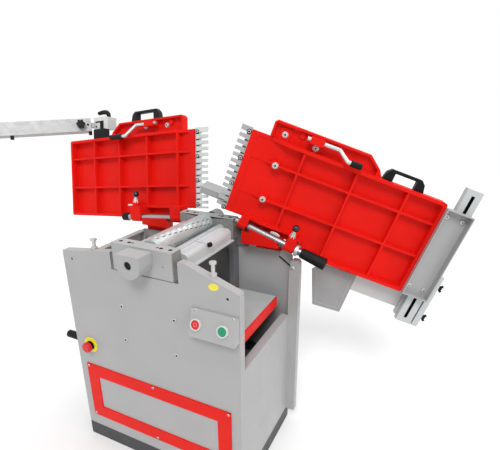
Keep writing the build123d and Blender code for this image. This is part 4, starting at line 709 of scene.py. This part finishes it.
def guard_fittings():
    """Curved clamp lever, a black patch of painted shade for the recess in the foot plate, and a stud beside
    the arm's knob.
    """
    lever_z, lever_half = 894.0, 10.0
    path = (
        (-652.0, -262.2), (-648.0, -270.0), (-651.0, -279.0), (-661.0, -286.0),
        (-676.0, -289.0), (-694.0, -289.5), (-717.0, -287.0),
    )
    widths = (7.5, 9.0, 10.5, 11.0, 10.5, 10.0, 8.5)
    lever = Piece("guard_lever_curved", "guard_lever", [black], LEFT)
    lever.swept([(x, y, lever_z) for x, y in path], [(wide, lever_half) for wide in widths], steps=20)
    lever.done(0.8, replaces="guard_lever")

    # Black L-shaped patch: painted shade where the foot plate is recessed.
    outline = [
        (-710.0, -244.0), (-652.0, -244.0), (-652.0, -208.0),
        (-678.0, -208.0), (-678.0, -237.0), (-710.0, -237.0),
    ]
    plate_shade_z, screw_z = 865.9, 865.7
    plate_shade = Piece("guard_plate_shade", "left_table", [black, black_oxide], LEFT)
    plate_shade.drawn(outline, (0, 0, plate_shade_z), X_WAY, Y_WAY, -0.8)
    socket_head(plate_shade, (-704.0, -220.0, screw_z), DOWN, *FOOT_SCREW)
    plate_shade.done(0.2)

    from_pin, to_face = 44.0, 20.5
    stud = Piece("guard_arm_stud", "guard_arm", [black_oxide, black], LEFT)
    socket_head(stud, FOLD_PIN + ARM_WAY * from_pin + ARM_FACE * to_face, ARM_FACE, *ARM_STUD)
    stud.done()


def flap_welds():
    """Welds at the outer ends of the hinge flaps."""
    outline = [(-6.0, -44.0), (6.0, -44.0), (6.0, -3.0), (0.0, 0.0), (-6.0, -3.0)]
    for body, swing, x, rear in (("left_table", LEFT, -331.0, 198.0), ("right_table", RIGHT, 324.0, 167.0)):
        weld = Piece(f"{body}_flap_weld", body, [red_cast], swing)
        weld.drawn(outline, (x, rear, 855.0), X_WAY, Y_WAY, 14.0)
        weld.done(0.5)


def plunger_screws():
    """Pin beside the left plunger and a screw in the right plunger's block."""
    rings = [(0.0, 3.0), (1.0, 4.0), (8.0, 4.0), (8.5, 5.5), (27.0, 5.5), (28.0, 4.5)]
    pin = Piece("left_plunger_pin", "left_table", [zinc], LEFT)
    pin.turned((-409.0, 149.0, 792.0), X_WAY, rings)
    pin.done(slot="steel")
    screw = Piece("right_plunger_screw", "right_table", [black_oxide, black], RIGHT)
    socket_head(screw, (360.0, 147.0, right_rod(RIGHT_PLUNGER_X).z - 11.0), DOWN, *BLOCK_SCREW)
    screw.done()


def right_hinge():
    """Nut beside the right table's ear and an oval lever on a stub, both on the hinge rod."""
    nut_x, lever_x, bore = 174.5, 275.0, 9.2
    along = right_rod(1.0) - right_rod(0.0)
    up = Vector((-along.z, 0.0, along.x)).normalized()
    flats = hexagon(31.0)
    rings = [(0.0, bore), (0.0, 18.0), (1.4, 19.0), (1.8, flats), (5.0, flats), (5.6, 13.5), (5.6, bore)]
    nut = Piece("right_hinge_nut", "right_table", [black_oxide], RIGHT)
    nut.turned(right_rod(nut_x), along, rings, steps=36, tube=True)
    nut.done()

    lever = Piece("right_hinge_lever", "right_table", [zinc, black_oxide], RIGHT)
    stub = right_rod(lever_x) + Vector((0, -6.0, 0)) + up * 5.0
    lever.turned(stub, up, [(0.0, 4.0), (6.0, 4.0), (7.0, 3.5)], material=1, steps=24)
    top = right_rod(lever_x) + Vector((0, -14.0, 0)) + up * 16.0
    rings = [(0.0, oval(19.0, 6.5)), (1.5, oval(20.0, 7.5)), (4.5, oval(20.0, 7.5)), (6.0, oval(18.0, 6.0))]
    lever.turned(top, up * -1, rings, steps=40)
    lever.done()


def ear_webs():
    """Webs of the right table's casting between its hinge ears and the flap."""
    run, drop = 5.0, 4.0
    web = Piece("right_table_ear_web", "right_table", [red_cast], RIGHT)
    for x0, x1, y0, y1 in ((172.0, 202.0, 144.0, 174.0), (290.0, 332.0, 158.0, 179.0)):
        outline = [(x0, y0), (x1, y0), (x1, y1 - drop), (x1 - run, y1), (x0 + run, y1), (x0, y1 - drop)]
        web.drawn(outline, (0, 0, 852.5), X_WAY, Y_WAY, 12.0)
    web.done(0.8)


def rear_post_top():
    """Sloped head of the rear post with its domed screw, and a gusset with a dark strip of painted shadow along
    its edge.
    """
    gusset = [
        (290.0, 732.0), (296.0, 751.0), (306.0, 756.0), (336.0, 748.0),
        (343.0, 740.0), (343.0, 692.0), (334.0, 700.0),
    ]
    strip = [(289.0, 727.0), (333.0, 697.0), (336.0, 701.5), (292.0, 731.5)]
    head = [(342.5, 684.0), (377.5, 684.0), (377.5, 722.0), (371.0, 730.0), (349.0, 730.0), (342.5, 722.0)]
    post = Piece("rear_post_top", "base", [grey_sheet, zinc, rubber])
    post.drawn(gusset, (0, 213.5, 0), X_WAY, Z_WAY, 6.0)
    # Dark strip in the belt rubber's colour: painted shadow along the gusset's sloped edge.
    post.drawn(strip, (0, 208.5, 0), X_WAY, Z_WAY, 3.0, material=2)
    post.drawn(head, (0, 214.5, 0), X_WAY, Z_WAY, 27.0)
    dome = [(0.0, 7.0), (2.0, 7.0), (4.0, 5.8), (5.5, 3.0)]
    post.turned((354.0, 187.5, 700.0), FRONT, dome, material=1, steps=24)
    post.done(0.8)


def rear_block_web():
    """Web between the rear end block and the right hinge bracket; its dark grey is painted shade."""
    outline = [(114.0, 746.0), (164.0, 746.0), (164.0, 790.0), (146.0, 812.0), (134.0, 822.0), (114.0, 822.0)]
    web = Piece("rear_block_web", "base", [grey_dark])
    web.drawn(outline, (0, 209.5, 0), X_WAY, Z_WAY, 6.0)
    web.done(0.8)


def lip_shadow_stripes():
    """Dark stripes of painted shadow under both comb lips, in line with the gaps between the fingers."""
    first_y, pitch, count = -160.0, 23.6, 13
    half, tip, taper = 2.8, 1.2, 2.0
    for body, swing, outer, inner in (("left_table", LEFT, -65.0, -83.5), ("right_table", RIGHT, 60.5, 74.5)):
        shadow_stripes = Piece(f"{body}_lip_shadow_stripes", body, [dark_paint], swing)
        end = inner + math.copysign(taper, outer - inner)
        for step in range(1, count + 1):
            y = first_y + pitch * step
            outline = [
                (outer, y - half), (end, y - half), (inner, y - tip),
                (inner, y + tip), (end, y + half), (outer, y + half),
            ]
            # Each stripe is painted shadow, not a cut in the lip.
            shadow_stripes.drawn(outline, (0, 0, LIP_BOTTOM + 0.2), X_WAY, Y_WAY, -0.6)
        shadow_stripes.done(0.1)


def rule_scale():
    """White strips along the beam and along its slider, with plain ticks every 5 mm."""
    pitch, width, margin = 5.0, 17.0, 1.0
    strips = (
        ("rule_scale", "base", (90.6, 0.0, 843.0), -162.0, 106.0),
        ("slider_scale", "rule_stop", (92.4, 0.0, 845.5), -54.0, 72.0),
    )
    for name, body, place, front, rear in strips:
        strip = Piece(name, body, [scale_white, ink])
        strip.drawn(rectangle(front, rear, 0.0, width), place, Y_WAY, X_WAY, -0.2)
        raised = Vector(place) + Vector((0, 0, 0.15))
        for step in range(math.ceil(front / pitch), math.floor(rear / pitch) + 1):
            y = step * pitch
            even = step % 2 == 0
            long = 12.0 if step % 10 == 0 else 9.5 if even else 6.5
            half = 0.85 if even else 0.55
            tick = rectangle(y - half, y + half, margin, margin + long)
            strip.drawn(tick, raised, Y_WAY, X_WAY, -0.11, material=1)
        strip.done()


def table_screws():
    """Heads of the lip screws on dark discs of painted shadow, the casting bolts and the end channel's screws.
    """
    channel_z, under_head = 836.0, [(0.0, 9.0), (0.9, 9.0)]
    left = Piece("left_screw_heads", "left_table", [zinc, black_oxide], LEFT)
    right = Piece("right_screw_heads", "right_table", [zinc, black_oxide], RIGHT)
    for piece, x in ((left, -77.0), (right, 67.0)):
        for y in (-144.0, -48.0, 48.0, 144.0):
            # Dark disc under each lip screw: painted shadow in the gap round its head.
            piece.turned((x, y, LIP_BOTTOM + 0.3), DOWN, under_head, material=1, steps=24)
            socket_head(piece, (x, y, LIP_BOTTOM), DOWN, *LIP_SCREW)
    for place in ((-363.0, -188.0, 860.0), (-240.0, -184.0, 860.0)):
        bolt_head(left, place)
    for place in ((187.0, -176.0, 856.0), (302.0, -169.0, 856.0), (192.0, -70.0, 828.0), (192.0, 58.0, 828.0)):
        bolt_head(right, place)
    for x in (812.0, 870.0):
        for y in (-112.0, 170.0):
            socket_head(right, (x, y, channel_z), DOWN, *CHANNEL_SCREW)
    left.done(replaces="left_table_screws")
    right.done(replaces="right_table_screws")


def plunger_nuts():
    """Nut and knurled sleeve where each ball plunger leaves its block."""
    bore, flats, knurl = 6.15, hexagon(21.0), lobed(9.0, 0.5, 24)
    nut = [(-6.0, bore), (-6.0, flats), (2.0, flats), (2.0, bore)]
    sleeve = [(2.0, bore), (2.0, knurl), (11.0, knurl), (12.0, 7.6), (12.0, bore)]
    sides = (("left_table", LEFT, LEFT_PLUNGER_X, left_rod), ("right_table", RIGHT, RIGHT_PLUNGER_X, right_rod))
    for body, swing, x, rod in sides:
        place = (x, 134.0, rod(x).z)
        fitting = Piece(f"{body}_plunger_nut", body, [zinc, steel], swing)
        fitting.turned(place, FRONT, nut, steps=36, tube=True)
        fitting.turned(place, FRONT, sleeve, material=1, steps=96, tube=True)
        fitting.done(slot="steel")


def depth_grip():
    """Fluted grip that sets the depth of cut."""
    flutes = 18
    start, end = right_rod(386.1), right_rod(475.8)
    length = (end - start).length
    shape = (
        (0.0, 16.5, 0.0), (2.0, 18.0, 0.0), (8.0, 18.4, 0.9), (0.5 * length, 19.8, 1.0),
        (length - 12.0, 21.4, 1.0), (length - 5.0, 21.8, 0.9), (length - 1.2, 20.9, 0.2), (length, 19.2, 0.0),
    )
    rings = [(along, lobed(radius, depth, flutes)) for along, radius, depth in shape]
    grip = Piece("depth_grip_fluted", "depth_grip", [black])
    grip.turned(start, end - start, rings, steps=6 * flutes)
    grip.done(replaces="depth_grip")


front_screws()
front_marks()
hole_shades()
rear_wall_lip()
cover_fold()
guard_fittings()
flap_welds()
plunger_screws()
right_hinge()
ear_webs()
rear_post_top()
rear_block_web()
lip_shadow_stripes()
rule_scale()
table_screws()
plunger_nuts()
depth_grip()


# ---- camera, light and floor ----

# Camera solved from the photo's straight edges, in metres
CAMERA_PLACE = Vector((0.8189, -1.1304, 1.3123))
CAMERA_RIGHT = Vector((0.9018, 0.43216, -0.00211)).normalized()
CAMERA_BACK = Vector((0.40669, -0.84698, 0.34239)).normalized()
LENS, SENSOR, SHIFT_X, SHIFT_Y, NEAR = 29.84, 36.0, -0.0032, 0.0316, 0.01

# Lamps: name, place in metres, strength, softness in degrees; and the world's light on things and to the eye
LAMPS = (
    ("key", (0.7, -1.9, 3.1), 1.7, 24.0),
    ("side", (2.8, -0.4, 1.8), 0.9, 50.0),
    ("fill", (-2.6, -1.8, 2.0), 0.35, 60.0),
    ("top", (0.0, 0.6, 3.2), 1.3, 70.0),
    ("rim", (1.5, 2.2, 2.2), 0.6, 50.0),
)
LAMP_AIM = Vector((0.0, 0.0, 0.8))
WORLD_LIGHT, WORLD_SEEN = 0.3, 1.0
FLOOR_HALF, FLOOR_COLOUR = 6.0, (0.86, 0.86, 0.86)


def look():
    camera_data = bpy.data.cameras.new("camera")
    camera = bpy.data.objects.new("camera", camera_data)
    bpy.context.scene.collection.objects.link(camera)
    right, back, place = CAMERA_RIGHT, CAMERA_BACK, CAMERA_PLACE
    up = back.cross(right).normalized()
    camera.matrix_world = Matrix((
        (right.x, up.x, back.x, place.x),
        (right.y, up.y, back.y, place.y),
        (right.z, up.z, back.z, place.z),
        (0, 0, 0, 1),
    ))
    camera_data.sensor_fit = "HORIZONTAL"
    camera_data.sensor_width = SENSOR
    camera_data.lens = LENS
    camera_data.shift_x = SHIFT_X
    camera_data.shift_y = SHIFT_Y
    camera_data.clip_start = NEAR
    bpy.context.scene.camera = camera


def lamp(name, place, strength, softness):
    """Far soft lamp that shines from a place towards the object."""
    data = bpy.data.lights.new(name, "SUN")
    data.energy = strength
    data.angle = math.radians(softness)
    light = bpy.data.objects.new(name, data)
    bpy.context.scene.collection.objects.link(light)
    light.location = place
    light.rotation_euler = (LAMP_AIM - Vector(place)).to_track_quat("-Z", "Y").to_euler()


def studio():
    """World that is white to the eye and in reflections but lights things less, and the lamps."""
    world = bpy.data.worlds.new("studio")
    bpy.context.scene.world = world
    world.use_nodes = True
    tree = world.node_tree
    background = tree.nodes["Background"]
    background.inputs["Color"].default_value = (1, 1, 1, 1)
    rays = tree.nodes.new("ShaderNodeLightPath")
    seen = rays.outputs["Is Camera Ray"]
    for kind in ("Is Glossy Ray", "Is Transmission Ray"):
        either = tree.nodes.new("ShaderNodeMath")
        either.operation = "MAXIMUM"
        tree.links.new(seen, either.inputs[0])
        tree.links.new(rays.outputs[kind], either.inputs[1])
        seen = either.outputs[0]
    level = tree.nodes.new("ShaderNodeMapRange")
    level.inputs["To Min"].default_value = WORLD_LIGHT
    level.inputs["To Max"].default_value = WORLD_SEEN
    tree.links.new(seen, level.inputs["Value"])
    tree.links.new(level.outputs["Result"], background.inputs["Strength"])
    for name, place, strength, softness in LAMPS:
        lamp(name, place, strength, softness)


def floor():
    mesh = bpy.data.meshes.new("floor")
    corners = [(x, y, 0) for x, y in rectangle(-FLOOR_HALF, FLOOR_HALF, -FLOOR_HALF, FLOOR_HALF)]
    mesh.from_pydata(corners, [], [(0, 1, 2, 3)])
    piece = bpy.data.objects.new("floor", mesh)
    bpy.context.scene.collection.objects.link(piece)
    surface = Surface("floor", FLOOR_COLOUR, 0.8).blotches(0.01, 2.0).grain(400.0, 0.05)
    mesh.materials.append(surface.done())


look()
studio()
floor()
bpy.context.scene.view_settings.view_transform = "Standard"
